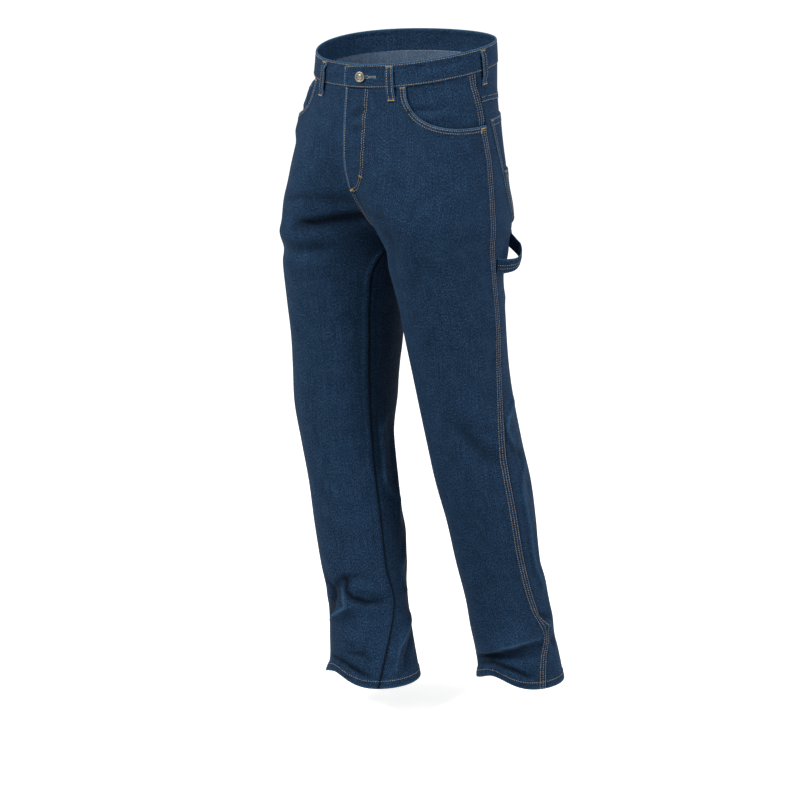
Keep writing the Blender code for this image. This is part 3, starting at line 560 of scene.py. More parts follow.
def ramp(tree, factor, stops):
    """Colour ramp: stops are (position, hex)."""
    made = node(tree, "ShaderNodeValToRGB", Fac=factor)
    while len(made.color_ramp.elements) < len(stops):
        made.color_ramp.elements.new(0.5)
    for element, (place, code) in zip(made.color_ramp.elements, stops):
        element.position = place
        element.color = linear(code)
    return made.outputs["Color"]


print("helpers ready")

# %% [markdown]
# ## Indigo denim
# Denim is a twill of indigo warp threads over undyed weft. Close to, it shows steep diagonal ribs
# about a millimetre apart. From further off the pale weft shows as a fine speckle, drawn out along
# the leg because the warp threads are uneven. Folded edges and seams rub paler. The weave follows
# each piece's own UV map, in metres along and across the grain. Two vertex attributes say where the
# cloth is rubbed (wear) and where shade is painted darker, in seam grooves and crease troughs.

# %% Denim material
RIB = 0.0013          # metres between the twill's ribs
SPECK = 0.0013        # size across the grain of the pale specks
SPECK_LENGTH = 0.0030  # their length along the grain; drawn a little coarse, so that they show
SLUB, SLUB_LENGTH = 0.0022, 0.045
TWILL_ANGLE = 27


def make_denim(name, dark, middle, light, rubbed, painted_shade_and_tarnish, speck_strength):
    made, tree, shader = start_material(name, 0.82)
    place = node(tree, "ShaderNodeUVMap", {"uv_map": "cloth"}).outputs["UV"]
    steep = mapped(tree, place, Rotation=(0, 0, math.radians(TWILL_ANGLE)), Scale=(1 / RIB, 1 / RIB, 1))
    bands = {"wave_type": "BANDS", "bands_direction": "X", "wave_profile": "SIN"}
    rib = node(tree, "ShaderNodeTexWave", bands, Vector=steep, Scale=0.314, Distortion=1.4,
               Detail=1.0, Detail_Scale=0.7).outputs["Fac"]
    speck = noise(tree, mapped(tree, place, Scale=(1 / SPECK, 1 / SPECK_LENGTH, 1)), 1.0, 2.0, 0.65)
    slub = noise(tree, mapped(tree, place, Scale=(1 / SLUB, 1 / SLUB_LENGTH, 1)), 1.0, 1.0)
    cloud = noise(tree, place, 38.0, 3.0, 0.6)
    speckle = stretched(tree, speck, 0.32, 0.70)
    total = maths(tree, "MULTIPLY_ADD", speckle, speck_strength, 0.5 - speck_strength / 2)
    for part, share in ((slub, 0.30), (cloud, 0.26), (rib, 0.12)):
        total = maths(tree, "ADD", total, maths(tree, "MULTIPLY_ADD", part, share, -share / 2))
    colour = ramp(tree, total, ((0.10, dark), (0.46, middle), (0.95, light)))
    patchy = stretched(tree, speckle, 0.0, 0.8, 0.45, 1.0)
    rub = maths(tree, "MULTIPLY", attribute(tree, "wear"), patchy, clamp=True)
    colour = mixed(tree, rub, colour, linear(rubbed))
    # Painted shade: seam grooves, the pocket's mouth and crease troughs are darkened in the colour.
    colour = mixed(tree, attribute(tree, "painted_shade_and_tarnish"), colour, linear(painted_shade_and_tarnish))
    tree.links.new(colour, shader.inputs["Base Color"])
    pucker = noise(tree, mapped(tree, place, Scale=(60.0, 110.0, 1)), 1.0, 1.0)
    puckers = maths(tree, "MULTIPLY", pucker, attribute(tree, "pucker"))
    coarse = bump(tree, 1.0, 0.0022, puckers)
    ripple = bump(tree, 0.55, 0.0016, cloud, Normal=coarse)
    tree.links.new(bump(tree, 0.6, 0.0004, total, Normal=ripple), shader.inputs["Normal"])
    shader.inputs["Specular IOR Level"].default_value = 0.10
    shader.inputs["Sheen Weight"].default_value = 0.03
    shader.inputs["Sheen Roughness"].default_value = 0.5
    shader.inputs["Sheen Tint"].default_value = linear("#8fb0d6")
    return made


# The fifth colour of each denim is the painted shade for seam grooves and crease troughs.
denim = make_denim("indigo_denim_twill", "#07162a", "#11283f", "#3a597c", "#4a7194", "#040a14", 0.62)
reverse = make_denim("indigo_denim_reverse", "#2c3d54", "#4a5d75", "#7d8ea0", "#7d8ea0", "#1c2a3c", 0.45)
print("denim ribs", RIB * 1000, "mm apart")

# %% [markdown]
# ## Thread and metal
# The topstitching is thick tan cotton-wrapped thread, matt and slightly fuzzy. Bar tacks are the same
# thread laid so close that it looks golden. The inseams are sewn from inside, so no thread shows.
# The shank button is cast metal with an aged silver finish: bright on its rim, dark in its hollows.


# %% Thread and button materials
def make_thread(name, dark, light):
    made, tree, shader = start_material(name, 0.7)
    place = node(tree, "ShaderNodeTexCoord").outputs["Object"]
    colour = ramp(tree, noise(tree, place, 420.0, 2.0), ((0.3, dark), (0.7, light)))
    tree.links.new(colour, shader.inputs["Base Color"])
    shader.inputs["Specular IOR Level"].default_value = 0.3
    shader.inputs["Sheen Weight"].default_value = 0.2
    return made


tan_thread = make_thread("tan_cotton_thread", "#8c7b66", "#c9b596")
gold_thread = make_thread("golden_bar_tack_thread", "#8c7040", "#c9ab70")
pale_thread = make_thread("pale_buttonhole_thread", "#5f6d7e", "#949da2")


def make_button_metal():
    made, tree, shader = start_material("aged_silver_plated_brass", 0.36, 1.0)
    place = node(tree, "ShaderNodeTexCoord").outputs["Object"]
    grain = noise(tree, place, 620.0, 3.0)
    aged = maths(tree, "MULTIPLY_ADD", grain, 0.5, attribute(tree, "painted_shade_and_tarnish"), clamp=True)
    colour = ramp(tree, aged, ((0.10, "#8f8b83"), (0.55, "#6d6860"), (1.0, "#2e2b27")))
    tree.links.new(colour, shader.inputs["Base Color"])
    tree.links.new(stretched(tree, grain, 0.0, 1.0, 0.28, 0.46), shader.inputs["Roughness"])
    tree.links.new(bump(tree, 0.3, 0.0002, grain), shader.inputs["Normal"])
    return made


button_metal = make_button_metal()
print("thread and metal ready")

# %% [markdown]
# ## A piece of cloth
# Cloth is a thin wall between two grids of points on the skin: one for its face and one for its back.
# The rim closes it. Solidify could thicken a single face, but two grids let an edge be rounded, lifted
# or tucked under its neighbour. The UV map is measured on the grid, so the weave never stretches.


# %% Shell of cloth
def arc_lengths(points):
    """Distance along the second axis of a grid of points, from its middle."""
    run = line_run(points)
    return run - run[:, run.shape[1] // 2][:, None]


def cloth(name, face, back, grain, values, backing=None):
    """Closed sheet between two grids. grain is the UV's second value, values the attributes' grids."""
    title = name + "_cloth"
    rows, columns = face.shape[:2]
    count = rows * columns
    index = np.arange(count).reshape(rows, columns)
    a, b, c, d = index[:-1, :-1], index[:-1, 1:], index[1:, 1:], index[1:, :-1]
    top = np.stack([a, b, c, d], axis=-1).reshape(-1, 4)
    rim = np.concatenate([index[0, :-1], index[:-1, -1], index[-1, :0:-1], index[:0:-1, 0]])
    after = np.roll(rim, -1)
    sides = np.stack([after, rim, rim + count, after + count], axis=-1)
    faces = np.concatenate([top, top[:, ::-1] + count, sides])
    points = np.concatenate([face.reshape(-1, 3), back.reshape(-1, 3)])
    first = faces[0]
    facing = np.cross(points[first[1]] - points[first[0]], points[first[2]] - points[first[0]])
    if facing @ (points[first[0]] - points[first[0] + count]) < 0:
        faces = faces[:, ::-1]
    mesh = bpy.data.meshes.new(title)
    mesh.from_pydata(points.tolist(), [], faces.tolist())
    across = arc_lengths(face)
    grain = np.broadcast_to(grain, across.shape)
    spread = np.stack([across.reshape(-1), grain.reshape(-1)], axis=-1)
    spread = np.concatenate([spread, spread])
    layer = mesh.uv_layers.new(name="cloth")
    layer.data.foreach_set("uv", spread[faces.reshape(-1)].reshape(-1).astype(np.float32))
    for key in ("wear", "painted_shade_and_tarnish", "pucker"):
        grid = np.broadcast_to(values.get(key, 0.0), across.shape).reshape(-1)
        made = mesh.attributes.new(key, "FLOAT", "POINT")
        made.data.foreach_set("value", np.concatenate([grid, grid]).astype(np.float32))
    mesh.materials.append(denim)
    mesh.materials.append(backing or reverse)
    inside = np.zeros(len(faces), np.int32)
    inside[len(top):2 * len(top)] = 1
    mesh.polygons.foreach_set("material_index", inside)
    mesh.shade_smooth()
    mesh.set_sharp_from_angle(angle=math.radians(60))
    made = bpy.data.objects.new(title, mesh)
    bpy.context.scene.collection.objects.link(made)
    pieces[name], cuts[name] = made, cut_of(face)
    print(title, len(faces), "faces")


def marks(wear, painted_shade_and_tarnish, pucker):
    """A piece's three attributes, each kept between 0 and 1."""
    return {"wear": np.clip(wear, 0, 1), "painted_shade_and_tarnish": np.clip(painted_shade_and_tarnish, 0, 1), "pucker": np.clip(pucker, 0, 1)}


def rounded(distance, radius=0.0010):
    """How far a folded edge drops, at a distance in from it."""
    share = np.clip(1.0 - distance / radius, 0.0, 1.0)
    return -radius * (1.0 - np.sqrt(1.0 - share * share))


def cut_of(face):
    """Greatest width, greatest length and area of a grid of points."""
    across, along = np.diff(face, axis=1), np.diff(face, axis=0)
    corner, opposite = face[1:, 1:] - face[:-1, :-1], face[1:, :-1] - face[:-1, 1:]
    area = float(np.linalg.norm(np.cross(corner, opposite), axis=-1).sum() / 2)
    width = float(np.linalg.norm(across, axis=-1).sum(axis=1).max())
    length = float(np.linalg.norm(along, axis=-1).sum(axis=0).max())
    return width, length, min(area, width * length)


pieces, cuts = {}, {}
print("cloth helper ready")

# %% [markdown]
# ## Leg panels
# Each leg has a front and a back, cut from the waist to the hem. The front has the pocket's scoop cut
# out of its top outer corner, and the back stops at the yoke. Their grids are close at every seam and
# edge, because a folded edge is only a millimetre round, and even elsewhere. The seams are felled: the
# front laps over the back, a little raised, and the left half laps over the right down the middle.

# %% Where the panels' edges run
SCOOP_START = {"left": 0.452, "right": 0.42}
SCOOP_DEPTH, SCOOP_POWER = 0.0800, 2.9
YOKE_SIDE, YOKE_BACK = 0.047, 0.072
FLY_WIDTH, FLY_LENGTH, FLY_CURVE, FLY_OVER = 0.045, 0.184, 0.050, 0.0025
LEG_RADIUS = 0.075
GRID = 0.0040
SEAM_BAND = 0.0142
FELL_WIDTH, FELL_LIFT = 0.0095, 0.0009
LAP_FADE = (-FLY_LENGTH - 0.012, -FLY_LENGTH + 0.006)
EDGE_STEPS = np.array([0.0, 0.0004, 0.0010, 0.0022, 0.0044, 0.0070, 0.0096, 0.0118, 0.0132, 0.0141,
                       0.0150, 0.0164, 0.0190, 0.0235])


def panel_angle(side, height, share, back):
    """Angle of a place that is a share of the way from the centre seam to the outseam."""
    centre, outseam = rise_angle(side, height), form(side, "outseam", height)
    edge = math.degrees(GAP / 2 / LEG_RADIUS)
    lean = np.where(height <= CROTCH, edge, 0.0)
    if back:
        start = np.where(height > CROTCH, 180.0 - centre, 360.0 + centre) - lean
        return start + (outseam + edge - start) * share
    start = centre + lean
    return start + (outseam - edge - start) * share


def scoop_drop(side, share):
    along = np.clip((share - SCOOP_START[side]) / (1.0 - SCOOP_START[side]), 0.0, 1.0)
    return SCOOP_DEPTH * (1.0 - (1.0 - along) ** SCOOP_POWER) ** (1.0 / SCOOP_POWER)


def yoke_drop(share):
    return YOKE_BACK + (YOKE_SIDE - YOKE_BACK) * smooth_step(0.0, 1.0, share) ** 0.8


def fly_width(height):
    """Distance from the centre front to the fly's curved stitching."""
    straight = FLY_LENGTH - FLY_CURVE
    curve = np.clip((-height - straight) / (FLY_LENGTH - straight), 0.0, 1.0)
    return FLY_WIDTH * np.sqrt(np.maximum(1.0 - curve**2, 0.02))


def from_seam(side, heights, distances, back, outer):
    """Angles at these distances over the cloth from a panel's outer seam, or from its inner one."""
    heights = np.asarray(heights, float)
    edge = panel_angle(side, heights, 1.0 if outer else 0.0, back)
    way = 1.0 if outer == back else -1.0
    turns = np.linspace(0.0, 1.0, 160) ** 1.6 * 46.0
    line = bare_skin(side, heights[:, None], edge[:, None] + way * turns[None, :])
    found = np.stack([np.interp(distances, row, turns) for row in line_run(line)])
    return edge[:, None] + way * found


def panel_width(side, height, back):
    ends = [float(panel_angle(side, height, share, back)) for share in (0.0, 1.0)]
    line = bare_skin(side, height, np.linspace(*ends, 80))
    return float(np.linalg.norm(np.diff(line, axis=0), axis=-1).sum())


for each in SIDES:
    widths = [round(panel_width(each, -0.35, back), 3) for back in (False, True)]
    print(each, "front is", widths[0], "m wide and the back", widths[1])


# %% Grids of the panels
def scoop_columns(side, width):
    """Shares at even steps along the curved mouth of the front pocket, and close beside its start."""
    start = SCOOP_START[side]
    along = np.linspace(0.0, 1.0, 4000) ** 2
    x, y = (1.0 - start) * along * width, scoop_drop(side, start + (1.0 - start) * along)
    run = run_of(np.hypot(np.diff(x), np.diff(y)))
    kept = [-0.0045, -0.0022, -0.0010, -0.0004, 0.0]
    for place in np.interp(np.linspace(0.0, run[-1], int(run[-1] / 0.0042)), run, x):
        if place - kept[-1] > 0.0003:
            kept.append(float(place))
    return start + np.array(kept) / width


def panel_columns(side, back):
    width = panel_width(side, -0.35, back)
    near = EDGE_STEPS / width
    count = int((1.0 - 2 * near[-1]) * width / GRID)
    shares = np.concatenate([near[:-1], np.linspace(near[-1], 1.0 - near[-1], count), 1.0 - near[-2::-1]])
    if back:
        return shares, width
    mouth = scoop_columns(side, width)
    mouth = mouth[mouth < 1.0 - near[-1]]
    keep = (shares < mouth[0] - 0.006) | (shares > mouth[-1] + 0.006)
    return np.sort(np.concatenate([shares[keep], mouth])), width


def even_heights(top, count, back):
    heights = np.linspace(top, CROTCH, 400)
    depths = seam_depth("left", heights, 1 if back else -1)
    run = run_of(np.hypot(np.diff(heights), np.diff(depths)))
    return np.interp(np.linspace(0, run[-1], count + 1), run, heights)


def panel_heights(side, shares, back):
    """Heights of the grid: the top rows follow the pocket's mouth or the yoke seam."""
    top = (-yoke_drop(shares) if back else -scoop_drop(side, shares)) - GAP / 2
    outer = np.linspace(-SCOOP_DEPTH - GAP / 2, CROTCH, 46)
    if back:
        outer = np.concatenate([np.linspace(top[-1], outer[0], 11)[:-1], outer])
    centre = even_heights(float(top[0]), len(outer) - 1, back)
    centre_part = (top[0] - centre) / (top[0] - CROTCH)
    outer_part = (top[-1] - outer) / (top[-1] - CROTCH)
    part = outer_part[:, None] + (centre_part - outer_part)[:, None] * ((1.0 - shares) ** 2)[None, :]
    close = part[1] * np.array([0.10, 0.26, 0.55])[:, None]
    part = np.concatenate([part[:1], close, part[1:]])
    above = top[None, :] + (CROTCH - top[None, :]) * part
    below = np.concatenate([np.linspace(CROTCH, -0.55, 58)[1:], np.linspace(-0.55, -0.84, 74)[1:],
                            np.linspace(-0.84, HEM + 0.019, 76)[1:]])
    band = HEM + np.array([0.0168, 0.0153, 0.0142, 0.0128, 0.0105, 0.0078, 0.0050, 0.0025, 0.0011,
                           0.0004, 0.0])
    return np.concatenate([above, np.repeat(np.concatenate([below, band])[:, None], len(shares), axis=1)])


def panel_grid(side, back):
    """Heights and angles of a panel's points. Columns beside a seam stay parallel to it."""
    shares, width = panel_columns(side, back)
    heights = panel_heights(side, shares, back)
    angles = panel_angle(side, heights, shares[None, :], back)
    for outer in (True, False):
        distance = (1.0 - shares if outer else shares) * width
        beside = np.flatnonzero(distance < 0.040)
        edge = -1 if outer else 0
        exact = from_seam(side, heights[:, edge], distance[beside], back, outer)
        exact = exact - exact[:, [list(beside).index(len(shares) - 1 if outer else 0)]]
        exact = exact + panel_angle(side, heights[:, beside], 1.0 if outer else 0.0, back)
        weight = smooth_step(0.040, 0.022, distance[beside])[None, :]
        angles[:, beside] += (exact - angles[:, beside]) * weight
    return heights, angles, shares


def seam_distance(side, heights, angles, back, outer):
    """Distance over the cloth from a panel's outer or inner seam, near that seam."""
    edge = panel_angle(side, heights, 1.0 if outer else 0.0, back)
    if outer:
        return np.abs(angles - edge) * per_degree(side, heights, edge)
    here = bare_skin(side, heights, angles)
    there = bare_skin(side, heights, edge)
    return np.linalg.norm(here - there, axis=-1)


def mouth_line(side, count=260):
    """Height and angle along the mouth of the front pocket, from the waist to the outseam."""
    along = np.linspace(0.0, 1.0, count) ** 2.2
    shares = SCOOP_START[side] + (1.0 - SCOOP_START[side]) * along
    heights = -scoop_drop(side, shares) - GAP / 2
    return heights, panel_angle(side, heights, shares, False)


def mouth_distance(side, heights, angles):
    line_heights, line_angles = mouth_line(side)
    scale = float(per_degree(side, -0.05, 66.0))
    x, y = angles[..., None] * scale, heights[..., None]
    away = np.full(heights.shape, 1.0)
    near = (heights > -0.14) & (angles > 20)
    apart = np.hypot(x[near] - line_angles * scale, y[near] - line_heights)
    away[near] = apart.min(axis=-1)
    return away


print("grids ready")


# %% How far the seams and hems raise each panel
def seam_band(distance, width, lift):
    return lift * smooth_step(width + 0.0020, width, distance)


def hem_band(height):
    return seam_band(height - HEM, HEM_BAND, FELL_LIFT)


def fly_raise(height, distance):
    """Lift of the left front over the fly: its edge laps over the right front."""
    fade = smooth_step(*LAP_FADE, height)
    inside = smooth_step(0.003, -0.001, distance - fly_width(height))
    inside = inside * smooth_step(-FLY_LENGTH, -FLY_LENGTH + 0.012, height)
    edge = (CLOTH + LAYER_GAP) * smooth_step(0.014, 0.003, distance) * fade
    seam = seam_band(distance, FELL_WIDTH, FELL_LIFT) * (1.0 - fade)
    seam = seam * smooth_step(CROTCH, CROTCH + 0.02, height)
    return np.maximum(edge, FELL_LIFT * inside) + seam


def mouth_gape(distance):
    """The pocket's mouth stands a little away from its facing."""
    return 0.0005 * np.exp(-((distance / 0.007) ** 2))


def front_lift(side, height, angle):
    height, angle = grids(height, angle)
    outer = seam_distance(side, height, angle, False, True)
    lift = np.maximum(seam_band(outer, SEAM_BAND, 0.0012), hem_band(height))
    inner = seam_distance(side, height, angle, False, False)
    lift = np.maximum(lift, seam_band(inner, 0.0085, FELL_LIFT) * smooth_step(CROTCH, CROTCH - 0.02, height))
    mouth = mouth_distance(side, height, angle)
    lift = lift + seam_band(mouth, 0.0105, 0.0006) + mouth_gape(mouth)
    if side == "left":
        from_middle = SIGN[side] * bare_skin(side, height, angle)[..., 0]
        lift = lift + np.where(height > CROTCH, fly_raise(height, from_middle), 0.0)
    return lift


def back_lift(side, height, angle):
    height, angle = grids(height, angle)
    lift = hem_band(height)
    if side == "left":
        centre = seam_distance(side, height, angle, True, False)
        lift = lift + seam_band(centre, FELL_WIDTH, FELL_LIFT) * smooth_step(CROTCH, CROTCH + 0.02, height)
    return lift


def yoke_lift(side, height, angle, share):
    height, angle = grids(height, angle)
    lift = seam_band(height + yoke_drop(share), 0.0100, FELL_LIFT)
    if side == "left":
        centre = seam_distance(side, height, angle, True, False)
        lift = np.maximum(lift, seam_band(centre, FELL_WIDTH, FELL_LIFT))
    return lift


def edge_wear(distance, reach=0.0012):
    return np.exp(-np.maximum(distance, 0.0) / reach)


def hem_thick(height):
    """The cloth's thickness, greater where the hem is turned up."""
    return CLOTH + 0.0014 * smooth_step(HEM + 0.0152, HEM + 0.0140, height)


def crease_marks(side, height, angle):
    """Rubbing along the crests of the sharper creases, and painted shade in their troughs."""
    _, crest, trough_shade = fold_fields(side, height, angle)
    return 0.45 * np.clip(crest, 0.0, 1.0), 0.80 * np.clip(trough_shade, 0.0, 1.0)


# %% [markdown]
# The left front has one more thing: its free edge at the fly. It carries on past the middle as a
# narrow lap over the right front, and below the fly the lap closes to the seam.


# %% Make the fronts
def lap_columns(heights, edge_lift):
    """Grid columns of the left front's lap, outermost first, with their faces and backs."""
    open_part = smooth_step(-FLY_LENGTH - 0.010, -FLY_LENGTH + 0.004, heights)
    shut_part = smooth_step(CROTCH, CROTCH + 0.025, heights)
    reach = FLY_OVER * open_part + 0.0011 * shut_part * (1.0 - open_part) + 0.00005
    seam = panel_angle("left", heights, 0.0, False)
    above = (heights >= CROTCH)[:, None]
    faces, backs = [], []
    for share, drop in ((1.0, 0.42), (0.84, 0.16), (0.6, 0.04), (0.3, 0.0)):
        angles = angle_at("right", np.maximum(heights, CROTCH), reach * share)
        over = skin("right", heights, angles, edge_lift * (1.0 - drop))
        under = skin("right", heights, angles, np.maximum(edge_lift - CLOTH, 0.00012) + 0.0001 * drop)
        low_face = skin("left", heights, seam, edge_lift - 0.0008 - 0.0003 * share)
        faces.append(np.where(above, over, low_face))
        backs.append(np.where(above, under, skin("left", heights, seam, -CLOTH + 0.0001 * share)))
    return np.stack(faces, axis=1), np.stack(backs, axis=1)


def make_front(side):
    heights, angles, _ = panel_grid(side, back=False)
    lift = front_lift(side, heights, angles)
    outer = seam_distance(side, heights, angles, False, True)
    inner = seam_distance(side, heights, angles, False, False)
    mouth = mouth_distance(side, heights, angles)
    drop = rounded(outer) + rounded(mouth) + rounded(heights - HEM)
    below = heights < CROTCH
    drop = drop + np.where(below, rounded(inner, 0.0008), 0.0)
    face = skin(side, heights, angles, lift + drop)
    raised = mouth_gape(mouth)
    if side == "left":
        x = bare_skin(side, heights, angles)[..., 0]
        fade = smooth_step(*LAP_FADE, heights)
        raised = raised + (CLOTH + LAYER_GAP) * smooth_step(0.014, 0.003, x) * fade * (heights > CROTCH)
    thick = hem_thick(heights) - 0.0003 * edge_wear(heights - HEM, 0.0005)
    back = skin(side, heights, angles, raised - thick)
    wear = 0.95 * edge_wear(mouth, 0.0014) + 0.45 * edge_wear(outer) + 0.85 * edge_wear(heights - HEM, 0.0013)
    wear = wear + np.where(below, 0.05 * edge_wear(inner), 0.0)
    rubbed, kept = crease_marks(side, heights, angles)
    wear = wear + rubbed
    # Painted shade: crease troughs, and the inseam's groove along the front's edge below the crotch.
    painted_shade_and_tarnish = kept + np.where(below, np.exp(-((inner / 0.0019) ** 2)), 0.0)
    pucker = smooth_step(0.026, 0.014, outer) + smooth_step(0.030, 0.012, heights - HEM)
    pucker = pucker + smooth_step(0.018, 0.008, mouth) + 0.6 * smooth_step(0.016, 0.008, inner)
    if side == "left":
        on_fly = smooth_step(0.006, -0.002, x - fly_width(heights)) * (heights > -FLY_LENGTH - 0.004)
        pucker = pucker + 0.8 * on_fly
        fly_edge = edge_wear(x, 0.0012) * smooth_step(-FLY_LENGTH - 0.01, -FLY_LENGTH, heights)
        wear = wear + 0.5 * fly_edge
        lap_face, lap_back = lap_columns(heights[:, 0], lift[:, 0])
        face, back = np.concatenate([lap_face, face], axis=1), np.concatenate([lap_back, back], axis=1)
        opened = smooth_step(-FLY_LENGTH - 0.01, -FLY_LENGTH, heights[:, :1])
        lap_wear = np.array([1.0, 0.95, 0.7, 0.6])[None, :] * (0.25 + 0.6 * opened)
        lap_wear = np.where(heights[:, :1] >= CROTCH, lap_wear, 0.1)
        wear = np.concatenate([lap_wear, wear], axis=1)
        widen = lambda grid: np.pad(grid, ((0, 0), (4, 0)), mode="edge")
        heights, painted_shade_and_tarnish, pucker = widen(heights), widen(painted_shade_and_tarnish), widen(pucker)
    cloth("front_" + side, face, back, heights, marks(wear, painted_shade_and_tarnish, pucker))


for each in SIDES:
    make_front(each)


# %% [markdown]
# Sewn seams are closed. The backs carry a narrow allowance past their seams, which lies just under
# the neighbour's cloth as it does on the real garment, so no light comes through the seam.


# %% Make the backs
ALLOWANCE = 0.0014


def allowance(side, heights, angles, thick, column, turned):
    """The strip that a panel carries past one of its seams: its root and its tip, on both faces."""
    height, edge, low = heights[:, column], angles[:, column], -thick[:, column] - 0.0002
    way = np.sign(angles[:, -1] - angles[:, 0]) * (1.0 if column else -1.0)
    tip = edge + way * turned / per_degree(side, height, edge)
    return [[skin(side, height, each, low - deeper)[:, None] for each in (edge, tip)]
            for deeper in (0.0, 0.0003)]


def make_back(side):
    heights, angles, shares = panel_grid(side, back=True)
    outer = seam_distance(side, heights, angles, True, True)
    inner = seam_distance(side, heights, angles, True, False)
    above = heights > CROTCH
    drop = rounded(heights - HEM)
    if side == "left":
        drop = drop + np.where(above, rounded(inner), 0.0)
    face = skin(side, heights, angles, back_lift(side, heights, angles) + drop)
    thick = hem_thick(heights)
    back = skin(side, heights, angles, -thick)
    rubbed, kept = crease_marks(side, heights, angles)
    wear = 0.85 * edge_wear(heights - HEM, 0.0013) + rubbed
    wear = wear + np.where(above, (0.5 if side == "left" else 0.0) * edge_wear(inner), 0.0)
    # Painted shade: along the outseam under the front's raised edge, in the inseam's groove, under the yoke's
    # edge and in crease troughs.
    painted_shade_and_tarnish = 0.85 * np.exp(-((outer / 0.0022) ** 2)) + np.where(above, 0.0, np.exp(-((inner / 0.0030) ** 2)))
    yoke_seam = -heights - yoke_drop(shares)[None, :]
    painted_shade_and_tarnish = painted_shade_and_tarnish + kept + 0.5 * np.exp(-((yoke_seam / 0.0016) ** 2))
    pucker = smooth_step(0.016, 0.008, inner) + smooth_step(0.030, 0.012, heights - HEM)
    pucker = pucker + 0.5 * smooth_step(0.016, 0.006, outer)
    centre_tuck = np.where(above[:, 0], ALLOWANCE if side == "left" else 0.0002, ALLOWANCE)
    (root_0, tip_0), (under_0, end_0) = allowance(side, heights, angles, thick, 0, centre_tuck)
    (root_1, tip_1), (under_1, end_1) = allowance(side, heights, angles, thick, -1, ALLOWANCE)
    face = np.concatenate([tip_0, root_0, face, root_1, tip_1], axis=1)
    back = np.concatenate([end_0, under_0, back, under_1, end_1], axis=1)
    widen = lambda grid: np.pad(grid, ((0, 0), (2, 2)), mode="edge")
    heights, wear, painted_shade_and_tarnish, pucker = widen(heights), widen(wear), widen(painted_shade_and_tarnish), widen(pucker)
    cloth("back_" + side, face, back, heights, marks(wear, painted_shade_and_tarnish, pucker))


for each in SIDES:
    make_back(each)

# %% [markdown]
# ## Yokes and pocket facings
# The yoke is the shaped strip across the back of the hips. It laps over the back panel and has two
# rows of stitches. The facing is the denim that shows inside the front pocket, one layer under the
# front; the right one carries a small watch pocket.


# %% Make the yokes
def make_yoke(side):
    width = panel_width(side, -0.03, True)
    near = EDGE_STEPS / width
    shares = np.concatenate([near[:-1], np.linspace(near[-1], 1.0, 46)])
    parts = np.concatenate([np.linspace(0.0, 0.94, 14), [0.965, 0.985, 0.994, 1.0]])[:, None]
    heights = -GAP / 2 - parts * (yoke_drop(shares)[None, :] - GAP)
    angles = panel_angle(side, heights, shares[None, :], back=True)
    bottom = heights + yoke_drop(shares)[None, :]
    centre = seam_distance(side, heights, angles, True, False)
    drop = rounded(bottom) + (rounded(centre) if side == "left" else 0.0)
    face = skin(side, heights, angles, yoke_lift(side, heights, angles, shares[None, :]) + drop)
    back = skin(side, heights, angles, -CLOTH)
    outer = seam_distance(side, heights, angles, True, True)
    wear = 0.6 * edge_wear(bottom) + (0.5 if side == "left" else 0.0) * edge_wear(centre)
    # Painted shade along the outseam, under the front's raised edge.
    painted_shade_and_tarnish = 0.85 * np.exp(-((outer / 0.0022) ** 2))
    pucker = smooth_step(0.018, 0.008, bottom) + smooth_step(0.016, 0.008, centre)
    cloth("yoke_" + side, face, back, heights, marks(wear, painted_shade_and_tarnish, pucker))


for each in SIDES:
    make_yoke(each)

# %% Make the pocket facings and the watch pocket
WATCH_THICK = 0.0011
FACING_DEPTH = {"left": CLOTH + LAYER_GAP + 0.0004}
FACING_DEPTH["right"] = FACING_DEPTH["left"] + WATCH_THICK + LAYER_GAP
FACING_BULGE = {"left": 0.0016, "right": 0.0070}
WATCH_SIZE, WATCH_TOP = 0.055, -0.018


def facing_lift(side, height, angle):
    """The facing lies one layer under the front, and comes out to the seam beside the back."""
    height, angle = grids(height, angle)
    down = -CLOTH - LAYER_GAP + (CLOTH + LAYER_GAP - FACING_DEPTH[side]) * smooth_step(0.0, -0.015, height)
    outer = seam_distance(side, height, angle, False, True)
    inner_edge, outer_edge = (panel_angle(side, height, share, False) for share in (0.0, 1.0))
    opening = height + scoop_drop(side, (angle - inner_edge) / (outer_edge - inner_edge))
    full = smooth_step(0.003, 0.020, mouth_distance(side, height, angle)) * (opening > 0)
    down = down + FACING_BULGE[side] * full * smooth_step(-0.002, -0.030, height)
    seam = smooth_step(SEAM_BAND + 0.006, SEAM_BAND, outer)
    seam = seam * smooth_step(-SCOOP_DEPTH - 0.001, -SCOOP_DEPTH + 0.009, height)
    return down + (0.0008 - down) * seam


def make_facing(side):
    start = SCOOP_START[side] - 0.07
    near = EDGE_STEPS / panel_width(side, -0.05, False)
    shares = np.concatenate([np.linspace(start, 1.0 - near[-1], 40), 1.0 - near[-2::-1]])
    parts = np.linspace(0.0, 1.0, 38)[:, None]
    bottom = scoop_drop(side, np.maximum(shares, SCOOP_START[side] + 0.12)) + 0.018
    heights = -GAP / 2 - parts * bottom[None, :]
    angles = panel_angle(side, heights, shares[None, :], back=False)
    out = facing_lift(side, heights, angles)
    outer = seam_distance(side, heights, angles, False, True)
    face = skin(side, heights, angles, out + rounded(outer))
    # Painted shade on the facing just inside the pocket's mouth, under the front's edge.
    near_mouth = np.exp(-((mouth_distance(side, heights, angles) / 0.004) ** 2))
    painted_shade_and_tarnish = 0.55 * near_mouth * smooth_step(0.010, 0.020, outer)
    pucker = smooth_step(0.020, 0.008, outer) + smooth_step(-0.018, -0.004, heights)
    back = skin(side, heights, angles, out - CLOTH)
    cloth("pocket_facing_" + side, face, back, heights, marks(0.45 * edge_wear(outer), painted_shade_and_tarnish, pucker))


